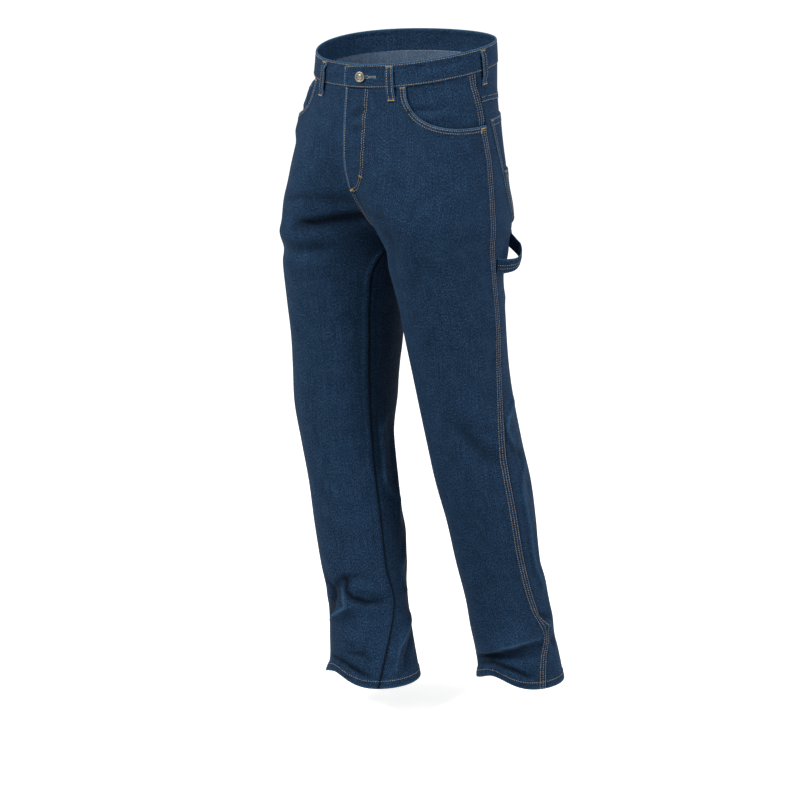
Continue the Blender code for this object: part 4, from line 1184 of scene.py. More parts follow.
def make_watch_pocket():
    down = np.array([0.0, 0.01, 0.03, 0.06, 0.1, 0.15, 0.25, 0.4, 0.55, 0.7, 0.85, 0.95, 1.0])[:, None]
    across = np.array([0.0, 0.012, 0.03, 0.08, 0.2, 0.35, 0.5, 0.65, 0.8, 0.92, 0.97, 0.988, 1.0])[None, :]
    heights, angles = np.broadcast_arrays(WATCH_TOP - WATCH_SIZE * down, 46.0 + 26.0 * across)
    from_top = down * WATCH_SIZE
    edge = np.minimum(np.minimum(from_top, across * WATCH_SIZE), (1.0 - across) * WATCH_SIZE)
    base = facing_lift("right", heights, angles) + 0.0002
    face = skin("right", heights, angles, base + WATCH_THICK + rounded(edge, 0.0006))
    wear = 0.8 * edge_wear(np.broadcast_to(from_top, heights.shape)) + 0.4 * edge_wear(edge)
    back = skin("right", heights, angles, base)
    cloth("watch_pocket", face, back, heights, {"wear": wear, "pucker": 0.6})


for each in SIDES:
    make_facing(each)
make_watch_pocket()

# %% [markdown]
# ## Waistband
# The waistband is one straight strip, folded along its top and sewn down over the top of the panels.
# Its left end laps over its right end at the button, so it is carried a little further out there.

# %% Make the waistband
OVERLAP_ANGLE = 10.0
OVERLAP_LIFT = WAISTBAND_OUT - WAISTBAND_IN + GAP
BAND_END = -1.7
OVERLAP_FADE = (OVERLAP_ANGLE + 1.0, 20.0)
WAIST_RADIUS, SEAT_RADIUS, DEGREES = 0.150, 0.13, 57.3


def band_point(height, turn, out):
    """Point on the waist ring: turn counts from the centre front round the left side."""
    turn = np.asarray(turn, float)
    left = skin("left", height, turn, out)
    right = skin("right", height, 360.0 - turn, out)
    over = skin("left", height, turn - 360.0, out)
    chosen = np.where((turn <= 180.0)[..., None], left, right)
    return np.where((turn >= 360.0)[..., None], over, chosen)


def band_lift(turn):
    """Extra height of the waistband over its own other end."""
    return OVERLAP_LIFT * (1.0 - smooth_step(*OVERLAP_FADE, turn)) * (np.asarray(turn) <= 180)


def band_height(rise, turn):
    """The band's free end droops a little, and its top corner is turned round."""
    from_end = np.maximum(np.asarray(turn, float) - BAND_END, 0.0)
    droop = 0.0035 * np.exp(-((from_end / 9.0) ** 2)) + 0.0030 * np.exp(-((from_end / 0.9) ** 2))
    return rise * (1.0 - droop / WAISTBAND_HEIGHT)


def make_waistband():
    first = [BAND_END, -1.55, -1.35, -1.1, -0.7, 0.0]
    turns = np.concatenate([first, np.linspace(1.2, 368.6, 260), [369.3, 370.0]])
    rise = np.array([GAP / 2, 0.0005, 0.0011, 0.0022, 0.0045, 0.008, 0.012, 0.016, 0.020, 0.024, 0.028,
                     0.032, 0.0345, 0.0362, 0.0371, 0.0377, WAISTBAND_HEIGHT])[:, None]
    rise, grid = np.broadcast_arrays(rise, turns[None, :])
    heights = band_height(rise, grid)
    from_top = WAISTBAND_HEIGHT - rise
    edge = np.minimum(rise, from_top)
    end = (grid - BAND_END) * 0.0026
    drop = rounded(from_top, 0.0013) + rounded(rise, 0.0009) + rounded(end, 0.0012)
    pad = 0.0004 * smooth_step(0.0, 0.006, edge - 0.003)
    lift = band_lift(grid)
    face = band_point(heights, grid, WAISTBAND_OUT + lift + drop + pad)
    back = band_point(heights, grid, WAISTBAND_IN + lift - rounded(from_top, 0.0011))
    wear = 0.75 * edge_wear(from_top, 0.0016) + 0.4 * edge_wear(rise) + 0.9 * edge_wear(end, 0.0016)
    cloth("waistband", face, back, heights, marks(wear, 0.0, smooth_step(0.010, 0.004, edge)), denim)


make_waistband()

# %% [markdown]
# ## Belt loops and hammer loop
# A belt loop is a strip folded to three layers. It is tacked down above and below the waistband and
# stands off it between, so that a belt can pass. The hammer loop is a wider strap: it leaves the left
# outseam, bows out and goes back up to the seat. Both are made along a path with a rounded edge.

# %% Make the belt loops
LOOP_WIDTH, LOOP_THICK, LOOP_GAP, LOOP_ROW = 0.0125, 0.0018, 0.0033, 0.00335
LOOP_TOP, LOOP_FOOT = 0.0345, -0.0225
LOOP_PATH = (
    (LOOP_TOP, WAISTBAND_OUT + LAYER_GAP),
    (0.0290, WAISTBAND_OUT + LAYER_GAP),
    (0.0265, WAISTBAND_OUT + LOOP_GAP * 0.75),
    (0.0230, WAISTBAND_OUT + LOOP_GAP),
    (0.0110, WAISTBAND_OUT + LOOP_GAP),
    (0.0010, WAISTBAND_OUT + LOOP_GAP),
    (-0.0080, WAISTBAND_OUT + LOOP_GAP * 0.9),
    (-0.0130, LAYER_GAP + 0.0010),
    (-0.0150, LAYER_GAP),
    (LOOP_FOOT, LAYER_GAP),
)
LOOP_TURNS = {
    "belt_loop_front_left": 30.5,
    "belt_loop_side_left": 96.0,
    "belt_loop_back": 180.0,
    "belt_loop_side_right": 264.0,
    "belt_loop_front_right": 338.3,
}
LOOP_ACROSS = np.array([-1.0, -0.96, -0.86, -0.68, -0.53, -0.38, 0.0, 0.38, 0.53, 0.68, 0.86, 0.96, 1.0])
LOOP_LEAN = {"belt_loop_front_left": 0.030, "belt_loop_side_left": 0.045}


def smooth_loop_out(height):
    path = np.array(LOOP_PATH)
    shifts = (-0.0016, -0.0008, 0.0, 0.0008, 0.0016)
    return np.mean([np.interp(height + shift, path[::-1, 0], path[::-1, 1]) for shift in shifts], axis=0)


def loop_turn(name, turn, height):
    """Two of the loops were sewn on a little askew."""
    return turn + LOOP_LEAN.get(name, 0.0) * (0.006 - height) / WAIST_RADIUS * DEGREES * 2


def make_belt_loop(name, turn):
    heights = np.concatenate([[LOOP_TOP, 0.0342], np.linspace(0.0335, -0.0215, 44), [-0.0222, LOOP_FOOT]])
    heights = heights[:, None]
    around = LOOP_WIDTH / 2 / WAIST_RADIUS * DEGREES
    turns = loop_turn(name, turn, heights) + around * LOOP_ACROSS[None, :]
    heights, turns = np.broadcast_arrays(heights, turns)
    smoothed = smooth_loop_out(heights)
    side = (1.0 - np.abs(LOOP_ACROSS[None, :])) * LOOP_WIDTH / 2
    end = np.minimum(LOOP_TOP - heights, heights - LOOP_FOOT)
    drop = rounded(side, 0.0008) + rounded(end, 0.0006)
    sunk = -0.00025 * np.exp(-(((np.abs(LOOP_ACROSS[None, :]) - 0.53) / 0.14) ** 2))
    face = band_point(heights, turns, smoothed + LOOP_THICK + drop + sunk)
    back = band_point(heights, turns, smoothed - 0.5 * rounded(side, 0.0008))
    wear = np.broadcast_to(0.85 * edge_wear(side, 0.0009), heights.shape) + 0.5 * edge_wear(end)
    cloth(name, face, back, heights, marks(wear, 0.0, 0.35), denim)


for each, turn in LOOP_TURNS.items():
    make_belt_loop(each, turn)
print(len(LOOP_TURNS), "belt loops")

# %% Make the hammer loop
STRAP_WIDTH, STRAP_THICK, STRAP_LENGTH = 0.0255, 0.0022, 0.115
STRAP_PATH = (
    (109.5, -0.306, LAYER_GAP + 0.0002, 0.00),
    (111.5, -0.306, LAYER_GAP + 0.0003, 0.00),
    (114.0, -0.306, 0.0065, 0.02),
    (118.0, -0.305, 0.0140, 0.08),
    (124.0, -0.303, 0.0195, 0.18),
    (130.0, -0.298, 0.0212, 0.32),
    (137.0, -0.290, 0.0205, 0.45),
    (143.0, -0.282, 0.0170, 0.52),
    (147.0, -0.276, 0.0095, 0.56),
    (149.5, -0.272, 0.0030, 0.58),
    (151.0, -0.270, LAYER_GAP + 0.0003, 0.58),
    (154.0, -0.267, LAYER_GAP + 0.0002, 0.58),
)


def strap_places(parts, across):
    """Places of the strap's back face: its width leans back toward its rear end."""
    path = np.array(STRAP_PATH)
    knots = np.linspace(0.0, 1.0, len(path))
    angle, height, out, lean = (read_curve(knots, path[:, k], parts)[:, None] for k in range(4))
    heights = height + across[None, :] * np.cos(lean)
    angles = angle - across[None, :] * np.sin(lean) / STRAP_LENGTH * DEGREES
    return heights, angles, np.broadcast_to(out, heights.shape)


def strap_faces(parts, across):
    """Back face points of the strap and the outward directions there."""
    heights, angles, out = strap_places(parts, across)
    inner = skin("left", heights, angles, out)
    return inner, unit(np.cross(np.gradient(inner, axis=0), np.gradient(inner, axis=1)))


STRAP_HALF = np.array([0.15, 0.45, 0.7, 0.85, 0.94, 0.985, 1.0])
STRAP_ACROSS = np.concatenate([-STRAP_HALF[::-1], STRAP_HALF])


def make_hammer_loop():
    across = STRAP_ACROSS * STRAP_WIDTH / 2
    inner, face = strap_faces(np.linspace(0.0, 1.0, 110), across)
    side = (1.0 - np.abs(STRAP_ACROSS[None, :])) * STRAP_WIDTH / 2
    drop = np.broadcast_to(rounded(side, 0.0010), inner.shape[:2])
    outer = inner + face * (STRAP_THICK + drop)[..., None]
    back = inner - face * (0.5 * drop)[..., None]
    wear = np.broadcast_to(0.8 * edge_wear(side, 0.0012), inner.shape[:2])
    along = np.linspace(0.0, STRAP_LENGTH, 110)[:, None]
    cloth("hammer_loop", outer, back, along, marks(wear, 0.0, 0.3), denim)


make_hammer_loop()

# %% [markdown]
# ## Patch pockets and fly facing
# The back pockets are five-sided patches with a hemmed top, sewn on with two rows. The tool pocket is
# a second patch on the left one. The fly facing lies inside, behind the curved stitching.

# %% Make the patch pockets
POCKET_COLUMNS = ("side", "top", "front_top", "front_low", "rear_top", "rear_low", "corner", "tip")
BACK_POCKETS = {
    "back_pocket_left": ("left", -0.074, 102.5, 131, 160, 185, -0.230, -0.252),
    "back_pocket_right": ("right", -0.074, 102.5, 127, 160, 181, -0.230, -0.252),
}
TOOL_POCKET = ("left", -0.153, 118.5, 131, 172.5, 185, -0.230, -0.252)
POCKET_DOWN = np.concatenate([[0.0, 0.003, 0.008, 0.016], np.linspace(0.03, 0.97, 34),
                              [0.984, 0.992, 0.997, 1.0]])
POCKET_SIDE = np.concatenate([[0.0, 0.004, 0.01, 0.02], np.linspace(0.04, 0.96, 29),
                              [0.98, 0.99, 0.996, 1.0]])
SEAT_DEGREE = 0.00225  # metres of cloth that one degree covers on the seat
TOOL_INSET = 0.0015


def patch_places(row, down, across, inset=0.0):
    pocket = dict(zip(POCKET_COLUMNS, row))
    point = 1.0 - np.abs(2.0 * across - 1.0)
    bottom = pocket["corner"] + (pocket["tip"] - pocket["corner"]) * point + inset
    heights = pocket["top"] + (bottom - pocket["top"]) * down
    front = pocket["front_top"] + (pocket["front_low"] - pocket["front_top"]) * down
    rear = pocket["rear_top"] + (pocket["rear_low"] - pocket["rear_top"]) * down
    turn_inset = inset / SEAT_RADIUS * DEGREES
    return heights, front + turn_inset + (rear - front - 2 * turn_inset) * across


def patch_size(row):
    pocket = dict(zip(POCKET_COLUMNS, row))
    return (pocket["rear_top"] - pocket["front_top"]) * SEAT_DEGREE, pocket["top"] - pocket["corner"]


def patch_full(top, rim):
    """A patch bulges a little between its seams."""
    return PATCH_FULL * smooth_step(0.004, 0.030, np.minimum(rim, top + 0.02))


def patch_edges(row, down, across):
    """Distances in from the top, and from the nearest side or the bottom of a patch."""
    wide, tall = patch_size(row)
    down, across = np.broadcast_arrays(down, across)
    return down * tall, np.minimum(np.minimum(across, 1.0 - across) * wide, (1.0 - down) * tall)


PATCH_BASE, PATCH_FULL = 0.0003, 0.0004


def make_patch(name, row, base, inset=0.0):
    side = row[0]
    down, across = POCKET_DOWN[:, None], POCKET_SIDE[None, :]
    heights, angles = patch_places(row, down, across, inset)
    top, rim = patch_edges(row, down, across)
    full = patch_full(top, rim)
    out = base + CLOTH + rounded(rim) + rounded(top) + full + seam_band(top, 0.0110, 0.0004)
    face = skin(side, heights, angles, out)
    back = skin(side, heights, angles, base + 0.6 * full)
    wear = 0.9 * edge_wear(top, 0.0014) + 0.65 * edge_wear(rim)
    pucker = np.maximum(smooth_step(0.016, 0.006, rim), smooth_step(0.018, 0.008, top))
    cloth(name, face, back, heights, marks(wear, 0.0, pucker))


for each, row in BACK_POCKETS.items():
    make_patch(each, row, PATCH_BASE)
TOOL_BASE = 2 * PATCH_BASE + CLOTH + PATCH_FULL
make_patch("tool_pocket", TOOL_POCKET, TOOL_BASE, TOOL_INSET)


# %% Make the fly facing
def make_fly_facing():
    heights = -np.concatenate([np.linspace(GAP, 0.134, 30), np.linspace(0.138, 0.180, 14)])[:, None]
    parts = np.linspace(0.0, 1.0, 12)[None, :]
    distances = 0.0006 + (fly_width(heights) - 0.0006) * parts
    heights = np.broadcast_to(heights, distances.shape)
    angles = angle_at("left", heights, distances)
    down = -(CLOTH + LAYER_GAP)
    face, back = (skin("left", heights, angles, out) for out in (down, down - CLOTH))
    cloth("fly_facing", face, back, heights, {"pucker": 0.4})


make_fly_facing()

# %% [markdown]
# ## Sewing
# Work trousers are held by thick tan thread, sewn in long double and triple rows. Up close each row
# is a line of short plump stitches, sunk a little in the cloth. One stitch is modelled, and copied
# along lines that are measured over the cloth from the edges they follow. Each copy is turned to lie
# along its line and varies a little, as a machine's stitches do on thick seams.

# %% One stitch
STITCH_STEP, STITCH_LENGTH, STITCH_WIDTH, STITCH_HEIGHT = 0.0040, 0.0027, 0.00090, 0.00070
TACK_STEP, TACK_THREAD, TACK_WIDTH = 0.00062, 0.00082, 0.0019
HOLE_STEP, HOLE_THREAD, HOLE_STITCH = 0.00058, 0.00074, 0.0017
bpy.ops.mesh.primitive_uv_sphere_add(segments=6, ring_count=4, radius=0.5, location=(0.0, 0.0, 0.0))
template = bpy.context.object
template.name = "stitch_template"
stitch_points = np.array([tuple(v.co) for v in template.data.vertices])[:, [2, 0, 1]]
stitch_faces = [tuple(p.vertices) for p in template.data.polygons]
bpy.data.objects.remove(template)
rng = np.random.default_rng(11)
sewing = {}
print("one stitch has", len(stitch_faces), "faces")


def across_line(places, outward):
    """Directions along a line of places and sideways over the cloth."""
    along = unit(np.gradient(places, axis=0))
    return along, unit(np.cross(outward, along))


def read_line(run, values, at):
    return np.stack([np.interp(at, run, values[:, k]) for k in range(3)], axis=-1)


def sew(group, places, outward):
    """Adds a row of stitches along a line of places."""
    run = line_run(places)
    count = max(int(round(run[-1] / STITCH_STEP)), 1)
    middle = (np.arange(count) + 0.5) * run[-1] / count + rng.normal(0.0, 0.00010, count)
    size = STITCH_LENGTH * rng.uniform(0.90, 1.08, count)
    centre = read_line(run, places, middle)
    along = unit(read_line(run, places, middle + size / 2) - read_line(run, places, middle - size / 2))
    side = unit(np.cross(read_line(run, outward, middle), along))
    along = along + side * rng.normal(0.0, 0.05, count)[:, None]
    centre = centre + side * rng.normal(0.0, 0.00008, count)[:, None]
    sewing.setdefault(group, []).append((centre, along, side, size, np.full(count, STITCH_WIDTH)))


def bar_tack(group, start, end, outward, width=TACK_WIDTH):
    """A dense bar of stitches laid across the way from start to end."""
    start, end, outward = (np.asarray(v, float) for v in (start, end, outward))
    way = end - start
    count = max(int(np.linalg.norm(way) / TACK_STEP), 4)
    share = (np.arange(count) + 0.5) / count
    centre = start + way * share[:, None] + outward * 0.00025
    way = way / np.linalg.norm(way)
    side = np.cross(outward, way)
    along = np.where((np.arange(count) % 2 == 0)[:, None], side + way * 0.14, side - way * 0.14)
    sewing.setdefault(group, []).append((centre, along, np.repeat(way[None], count, axis=0),
                                         np.full(count, width), np.full(count, TACK_THREAD)))


def make_sewing(group, material):
    """Copies the stitch to every place of a group and makes one piece of them."""
    centre, along, side, size, width = (np.concatenate(column) for column in zip(*sewing[group]))
    along = unit(along)
    up = unit(np.cross(along, side))
    side = np.cross(up, along)
    x, y, z = (stitch_points[None, :, k, None] for k in range(3))
    points = centre[:, None] + x * (along * size[:, None])[:, None] + y * (side * width[:, None])[:, None]
    points = points + z * (up * STITCH_HEIGHT)[:, None]
    count = len(stitch_points)
    faces = [tuple(v + k * count for v in face) for k in range(len(centre)) for face in stitch_faces]
    mesh = bpy.data.meshes.new(group)
    mesh.from_pydata(points.reshape(-1, 3).tolist(), [], faces)
    mesh.materials.append(material)
    mesh.shade_smooth()
    made = bpy.data.objects.new(group, mesh)
    bpy.context.scene.collection.objects.link(made)
    print(group, len(centre), "stitches")
    return made


# %% Lines over the cloth
def on_skin(side, heights, angles, out):
    """Places on the cloth and the outward directions there."""
    heights, angles, out = np.broadcast_arrays(heights, angles, out)
    places = skin(side, heights, angles, out)
    outward = skin(side, heights, angles, out + 0.001) - places
    return places, unit(outward)


def on_band(heights, turns, out):
    heights, turns, out = np.broadcast_arrays(heights, turns, out)
    places = band_point(heights, turns, out)
    outward = band_point(heights, turns, out + 0.001) - places
    return places, unit(outward)


def sew_on(group, side, heights, angles, lift):
    """Sews a row along places of a panel, on top of what that panel's lift says."""
    sew(group, *on_skin(side, heights, angles, lift(side, heights, angles)))


def beside(side, heights, angles, distance):
    """A line moved sideways over the cloth. Positive is up, on a line that runs outward."""
    turned = (bare_skin(side, heights, angles + 0.2) - bare_skin(side, heights, angles - 0.2)) / 0.4
    raised = (bare_skin(side, heights + 0.0005, angles) - bare_skin(side, heights - 0.0005, angles)) / 0.001
    line = bare_skin(side, heights, angles)
    _, across = across_line(line, np.cross(turned, raised))
    tt, tr, rr = ((a * b).sum(axis=-1) for a, b in ((turned, turned), (turned, raised), (raised, raised)))
    along_turn, along_rise = ((across * way).sum(axis=-1) * distance for way in (turned, raised))
    scale = tt * rr - tr * tr
    moved = heights + (along_rise * tt - along_turn * tr) / scale
    return moved, angles + (along_turn * rr - along_rise * tr) / scale


print("lines ready")

# %% [markdown]
# The long seams come first: three rows down each outseam, which carry on over the facing to the
# waist, two at the seat and below the fly, and one row round each hem. The inseams are sewn from
# inside and show only a groove, darkened with painted shade.

# %% Sew the long seams
OUTSEAM_ROWS = (0.0018, 0.0070, 0.0122)
PAIR = (0.0016, 0.0074)


def sew_outseam(side):
    group = "outseam_topstitching_" + side
    lower = np.linspace(-SCOOP_DEPTH - 0.0015, HEM + 0.0006, 420)
    upper = np.linspace(-0.0008, -SCOOP_DEPTH + 0.0015, 60)
    for distance in OUTSEAM_ROWS:
        for heights, lift in ((lower, front_lift), (upper, facing_lift)):
            angles = from_seam(side, heights, [distance], back=False, outer=True)[:, 0]
            sew_on(group, side, heights, angles, lift)


def sew_hem(side):
    height = HEM + 0.0125
    for back, lift in ((False, front_lift), (True, back_lift)):
        ends = [float(panel_angle(side, height, share, back)) for share in (0.003, 0.997)]
        sew_on("hem_topstitching_" + side, side, np.full(160, height), np.linspace(*ends, 160), lift)


for each in SIDES:
    sew_outseam(each)
    sew_hem(each)


# %% Sew the seat, the rise and the yokes
def sew_centre(group, top, bottom, back, lift):
    heights = np.interp(np.linspace(0, 1, 90), [0, 1], [top, bottom])
    for distance in PAIR:
        angles = from_seam("left", heights, [distance], back, outer=False)[:, 0]
        sew_on(group, "left", heights, angles, lift)


def sew_yoke(side):
    shares = np.linspace(0.004, 0.996, 90)
    edge = -yoke_drop(shares)
    angles = panel_angle(side, edge, shares, back=True)
    for distance in PAIR:
        heights = edge + distance
        sew("yoke_topstitching", *on_skin(side, heights, angles, yoke_lift(side, heights, angles, shares)))


sew_centre("seat_topstitching", -YOKE_BACK - 0.001, CROTCH + 0.006, True, back_lift)
sew_centre("seat_topstitching", -0.001, -YOKE_BACK + 0.001, True, lambda *place: yoke_lift(*place, 0.0))
sew_centre("rise_topstitching", -FLY_LENGTH - 0.005, CROTCH + 0.006, False, front_lift)
for each in SIDES:
    sew_yoke(each)
print("seams sewn:", ", ".join(sewing))

# %% [markdown]
# The fly's two rows run down from the waistband and turn in to its foot in a J. A third row holds
# its free edge. Two rows follow each pocket's mouth, and bar tacks take the pull where rows end.

# %% Sew the fly and the front pockets
FLY_ROWS, MOUTH_ROWS = (0.0, 0.0044), (-0.0034, -0.0080)


def fly_line(inset):
    """Heights and distances from the middle along one row of the fly's J."""
    straight = FLY_LENGTH - FLY_CURVE
    turn = np.linspace(0.0, math.radians(83), 60)
    curve = -straight - (FLY_CURVE - inset) * np.sin(turn)
    heights = np.concatenate([np.linspace(-0.0012, -straight, 60)[:-1], curve])
    distances = np.concatenate([np.full(59, FLY_WIDTH - inset), (FLY_WIDTH - inset) * np.cos(turn)])
    return heights, distances


def on_fly(heights, distances):
    angles = angle_at("left", heights, distances)
    return on_skin("left", heights, angles, front_lift("left", heights, angles) + 0.0004)


for inset in FLY_ROWS:
    sew("fly_topstitching", *on_fly(*fly_line(inset)))
edge_line = np.linspace(-0.0012, -FLY_LENGTH + 0.002, 100)
sew("fly_topstitching", *on_fly(edge_line, np.full(100, 0.0023)))


def sew_mouth(side):
    heights, angles = mouth_line(side, 200)
    for distance in MOUTH_ROWS:
        row_heights, row_angles = beside(side, heights, angles, distance)
        keep = row_heights < -0.0010
        row_heights, row_angles = row_heights[keep], row_angles[keep]
        inside = row_angles < panel_angle(side, row_heights, 1.0, back=False) - 0.8
        sew_on("pocket_mouth_topstitching_" + side, side, row_heights[inside], row_angles[inside], front_lift)


for each in SIDES:
    sew_mouth(each)
print("fly and mouths sewn")

# %% Tack the fly and the front pockets
def tack_front(side, start, end, width=TACK_WIDTH):
    """Bar tack between two (height, angle) places."""
    heights, angles = np.array([start[0], end[0]]), np.array([start[1], end[1]])
    places, outward = on_skin(side, heights, angles, front_lift(side, heights, angles))
    bar_tack("bar_tacks", places[0], places[1], outward[0] + outward[1], width)


def fly_spot(height, distance):
    return height, float(angle_at("left", height, distance))


tack_front("left", fly_spot(-0.1540, 0.0345), fly_spot(-0.1560, 0.0425))
tack_front("left", fly_spot(-0.1830, 0.0005), fly_spot(-0.1795, 0.0085), 0.0036)
tack_front("left", fly_spot(-0.0012, 0.0004), fly_spot(-0.0040, 0.0022), 0.0022)
for each in SIDES:
    mouth_heights, mouth_angles = mouth_line(each)
    first = float(mouth_angles[0])
    wide = 0.0088 / float(per_degree(each, 0.0, first))
    tack_front(each, (-0.0020, first - wide), (-0.0020, first - 0.3))
    end = float(panel_angle(each, -SCOOP_DEPTH, 1.0, False))
    reach = 0.0125 / float(per_degree(each, -SCOOP_DEPTH, end))
    tack_front(each, (-SCOOP_DEPTH - 0.0044, end - reach), (-SCOOP_DEPTH - 0.0036, end - 0.3))
    tack_front(each, (-SCOOP_DEPTH - 0.0046, end - reach), (-SCOOP_DEPTH - 0.0108, end - reach), 0.0022)
print("front tacked")

# %% [markdown]
# The waistband is sewn down along its lower edge and once more along its top. Belt loops have two
# rows and a tack at each end. Patch pockets have two rows round their sides and two at their mouth.

# %% Sew the waistband and its loops
BAND_SEWN = WAISTBAND_OUT + 0.0002
WAIST_DEGREE = DEGREES / WAIST_RADIUS  # degrees that one metre covers round the waist


def sew_waistband():
    turns = np.linspace(-1.2, 368.0, 900)
    for from_bottom in (0.0020, WAISTBAND_HEIGHT - 0.0032):
        heights = band_height(np.full(len(turns), from_bottom), turns)
        sew("waistband_topstitching", *on_band(heights, turns, BAND_SEWN + band_lift(turns)))
    rise = np.linspace(0.003, WAISTBAND_HEIGHT - 0.004, 30)
    turns = np.full(30, BAND_END + 1.1)
    sew("waistband_topstitching", *on_band(band_height(rise, turns), turns, BAND_SEWN + band_lift(turns)))


def sew_loop(name, turn):
    heights = np.linspace(0.0318, -0.0200, 50)
    out = smooth_loop_out(heights) + LOOP_THICK - 0.0001
    for across in (-LOOP_ROW, LOOP_ROW):
        turns = loop_turn(name, turn, heights) + across * WAIST_DEGREE
        sew("belt_loop_topstitching", *on_band(heights, turns, out))
    for height in (0.0326, -0.0206):
        turns = loop_turn(name, turn, height) + np.array([-0.0052, 0.0052]) * WAIST_DEGREE
        places, outward = on_band(np.full(2, height), turns, float(smooth_loop_out(height)) + LOOP_THICK)
        bar_tack("bar_tacks", places[0], places[1], outward[0] + outward[1])


sew_waistband()
for each, turn in LOOP_TURNS.items():
    sew_loop(each, turn)
print("waistband sewn")


# %% Sew the patch pockets and the hammer loop
def patch_line(row, points, base, inset=0.0):
    """Line over a patch through (down, across) points, with its places."""
    points = np.array(points, float)
    share = np.linspace(0.0, len(points) - 1.0, 50 * (len(points) - 1))
    down, across = (np.interp(share, np.arange(len(points)), points[:, k]) for k in range(2))
    heights, angles = patch_places(row, down, across, inset)
    top, rim = patch_edges(row, down, across)
    out = base + CLOTH + patch_full(top, rim) + seam_band(top, 0.0110, 0.0004)
    return on_skin(row[0], heights, angles, out)


def sew_patch(name, row, base, inset=0.0):
    group = name + "_topstitching"
    wide, tall = patch_size(row)
    for distance in PAIR:
        low, near = 1 - distance / tall, distance / wide
        corners = ((0.012, near), (low, near), (low, 0.5), (low, 1 - near), (0.012, 1 - near))
        sew(group, *patch_line(row, corners, base, inset))
    for distance in (0.0016, 0.0090):
        down = distance / tall
        sew(group, *patch_line(row, ((down, 0.012), (down, 0.988)), base, inset))
    for near, far in ((0.008, 0.008 + 0.0075 / wide), (0.992, 0.992 - 0.0075 / wide)):
        places, outward = patch_line(row, ((0.0020 / tall, near), (0.0020 / tall, far)), base, inset)
        bar_tack("bar_tacks", places[0], places[-1], outward[0] + outward[-1])


for each, row in BACK_POCKETS.items():
    sew_patch(each, row, PATCH_BASE)
sew_patch("tool_pocket", TOOL_POCKET, TOOL_BASE, TOOL_INSET)


def watch_lift(side, heights, angles):
    return facing_lift(side, heights, angles) + WATCH_THICK + 0.0002


for height in (-0.0198, -0.0258):
    sew_on("watch_pocket_topstitching", "right", np.full(60, height), np.linspace(46.4, 71.6, 60), watch_lift)


def sew_strap():
    parts = np.linspace(0.004, 0.996, 200)
    for across in (-0.0044, 0.0016):
        inner, face = strap_faces(parts, np.array([across - 0.001, across, across + 0.001]))
        sew("hammer_loop_topstitching", inner[:, 1] + face[:, 1] * STRAP_THICK, face[:, 1])
    parts, across = 0.985 + np.array([-0.004, 0.0, 0.004]), np.array([-0.0112, 0.0, 0.0112])
    inner, face = strap_faces(parts, across)
    start, end = (inner[1, k] + face[1, k] * STRAP_THICK for k in (0, 2))
    bar_tack("bar_tacks", start, end, face[1, 1])


sew_strap()
print("pockets and hammer loop sewn")

# %% [markdown]
# The buttonhole is a keyhole cut in the waistband's end, its rim covered with close pale stitches.
# The button pulls at the round eye, so a little of the eye shows beside the cap.

# %% Sew the buttonhole
HOLE_START, HOLE_END, HOLE_HEIGHT, EYE_RADIUS = 13.9, 20.9, 0.0172, 0.0024


def sew_buttonhole():
    turn = np.linspace(math.radians(150), math.radians(-150), 40)
    eye_turns = HOLE_START + 1.6 - EYE_RADIUS * WAIST_DEGREE * np.cos(turn)
    eye_heights = HOLE_HEIGHT + EYE_RADIUS * np.sin(turn)
    upper_turns = np.linspace(HOLE_END, eye_turns[-1], 24)
    lower_turns = np.linspace(eye_turns[0], HOLE_END, 24)
    turns = np.concatenate([lower_turns[::-1], eye_turns[1:-1], upper_turns[::-1]])
    above, below = (np.full(24, HOLE_HEIGHT + half) for half in (0.0010, -0.0010))
    heights = np.concatenate([above, eye_heights[1:-1], below])
    places, outward = on_band(heights, turns, BAND_SEWN + band_lift(turns) + 0.0001)
    run = line_run(places)
    count = int(run[-1] / HOLE_STEP)
    at = (np.arange(count) + 0.5) / count * run[-1]
    centre, up = read_line(run, places, at), read_line(run, outward, at)
    way, side = across_line(centre, up)
    sizes = np.full(count, HOLE_STITCH), np.full(count, HOLE_THREAD)
    sewing["buttonhole"] = [(centre, side, way, *sizes)]
    low, high = (band_point(HOLE_HEIGHT + v, HOLE_END + 0.2, BAND_SEWN + 0.0002) for v in (-0.0019, 0.0019))
    bar_tack("buttonhole", low, high, on_band(HOLE_HEIGHT, HOLE_END, BAND_SEWN)[1], 0.0016)


sew_buttonhole()

# %% Make the pieces of sewing
SEWN_WITH = {"bar_tacks": gold_thread, "buttonhole": pale_thread}
threads = [make_sewing(group, SEWN_WITH.get(group, tan_thread)) for group in sewing]

# %% [markdown]
# ## Shank button
# The button is a stamped cap on a short shank. Its face has a rolled rim, a sunk ring and a low plain
# middle. A cylinder and a few insets give all of that, and a bevel softens the stamped edges.

# %% Make the button
BUTTON_TURN, BUTTON_HEIGHT = 11.5, 0.0175
CAP_RADIUS, CAP_LOW, CAP_HIGH = 0.0086, 0.0018, 0.0040
SHANK_RADIUS, SHANK_HEIGHT = 0.0045, 0.0024
CAP_LEAN = 0.25
CAP_RINGS = ((0.0009, 0.0006), (0.0012, 0.0001), (0.0006, -0.0007), (0.0014, 0.0), (0.0005, 0.0004),
             (0.0009, 0.0002), (0.0012, 0.0002))


def select_top(mesh):
    """Selects only the face that lies highest."""
    bpy.ops.object.mode_set(mode="OBJECT")
    highest = max(mesh.polygons, key=lambda face: face.center.z)
    for part in (mesh.vertices, mesh.edges, mesh.polygons):
        part.foreach_set("select", np.zeros(len(part), bool))
    highest.select = True
    bpy.ops.object.mode_set(mode="EDIT")
    bpy.ops.mesh.select_mode(type="FACE")


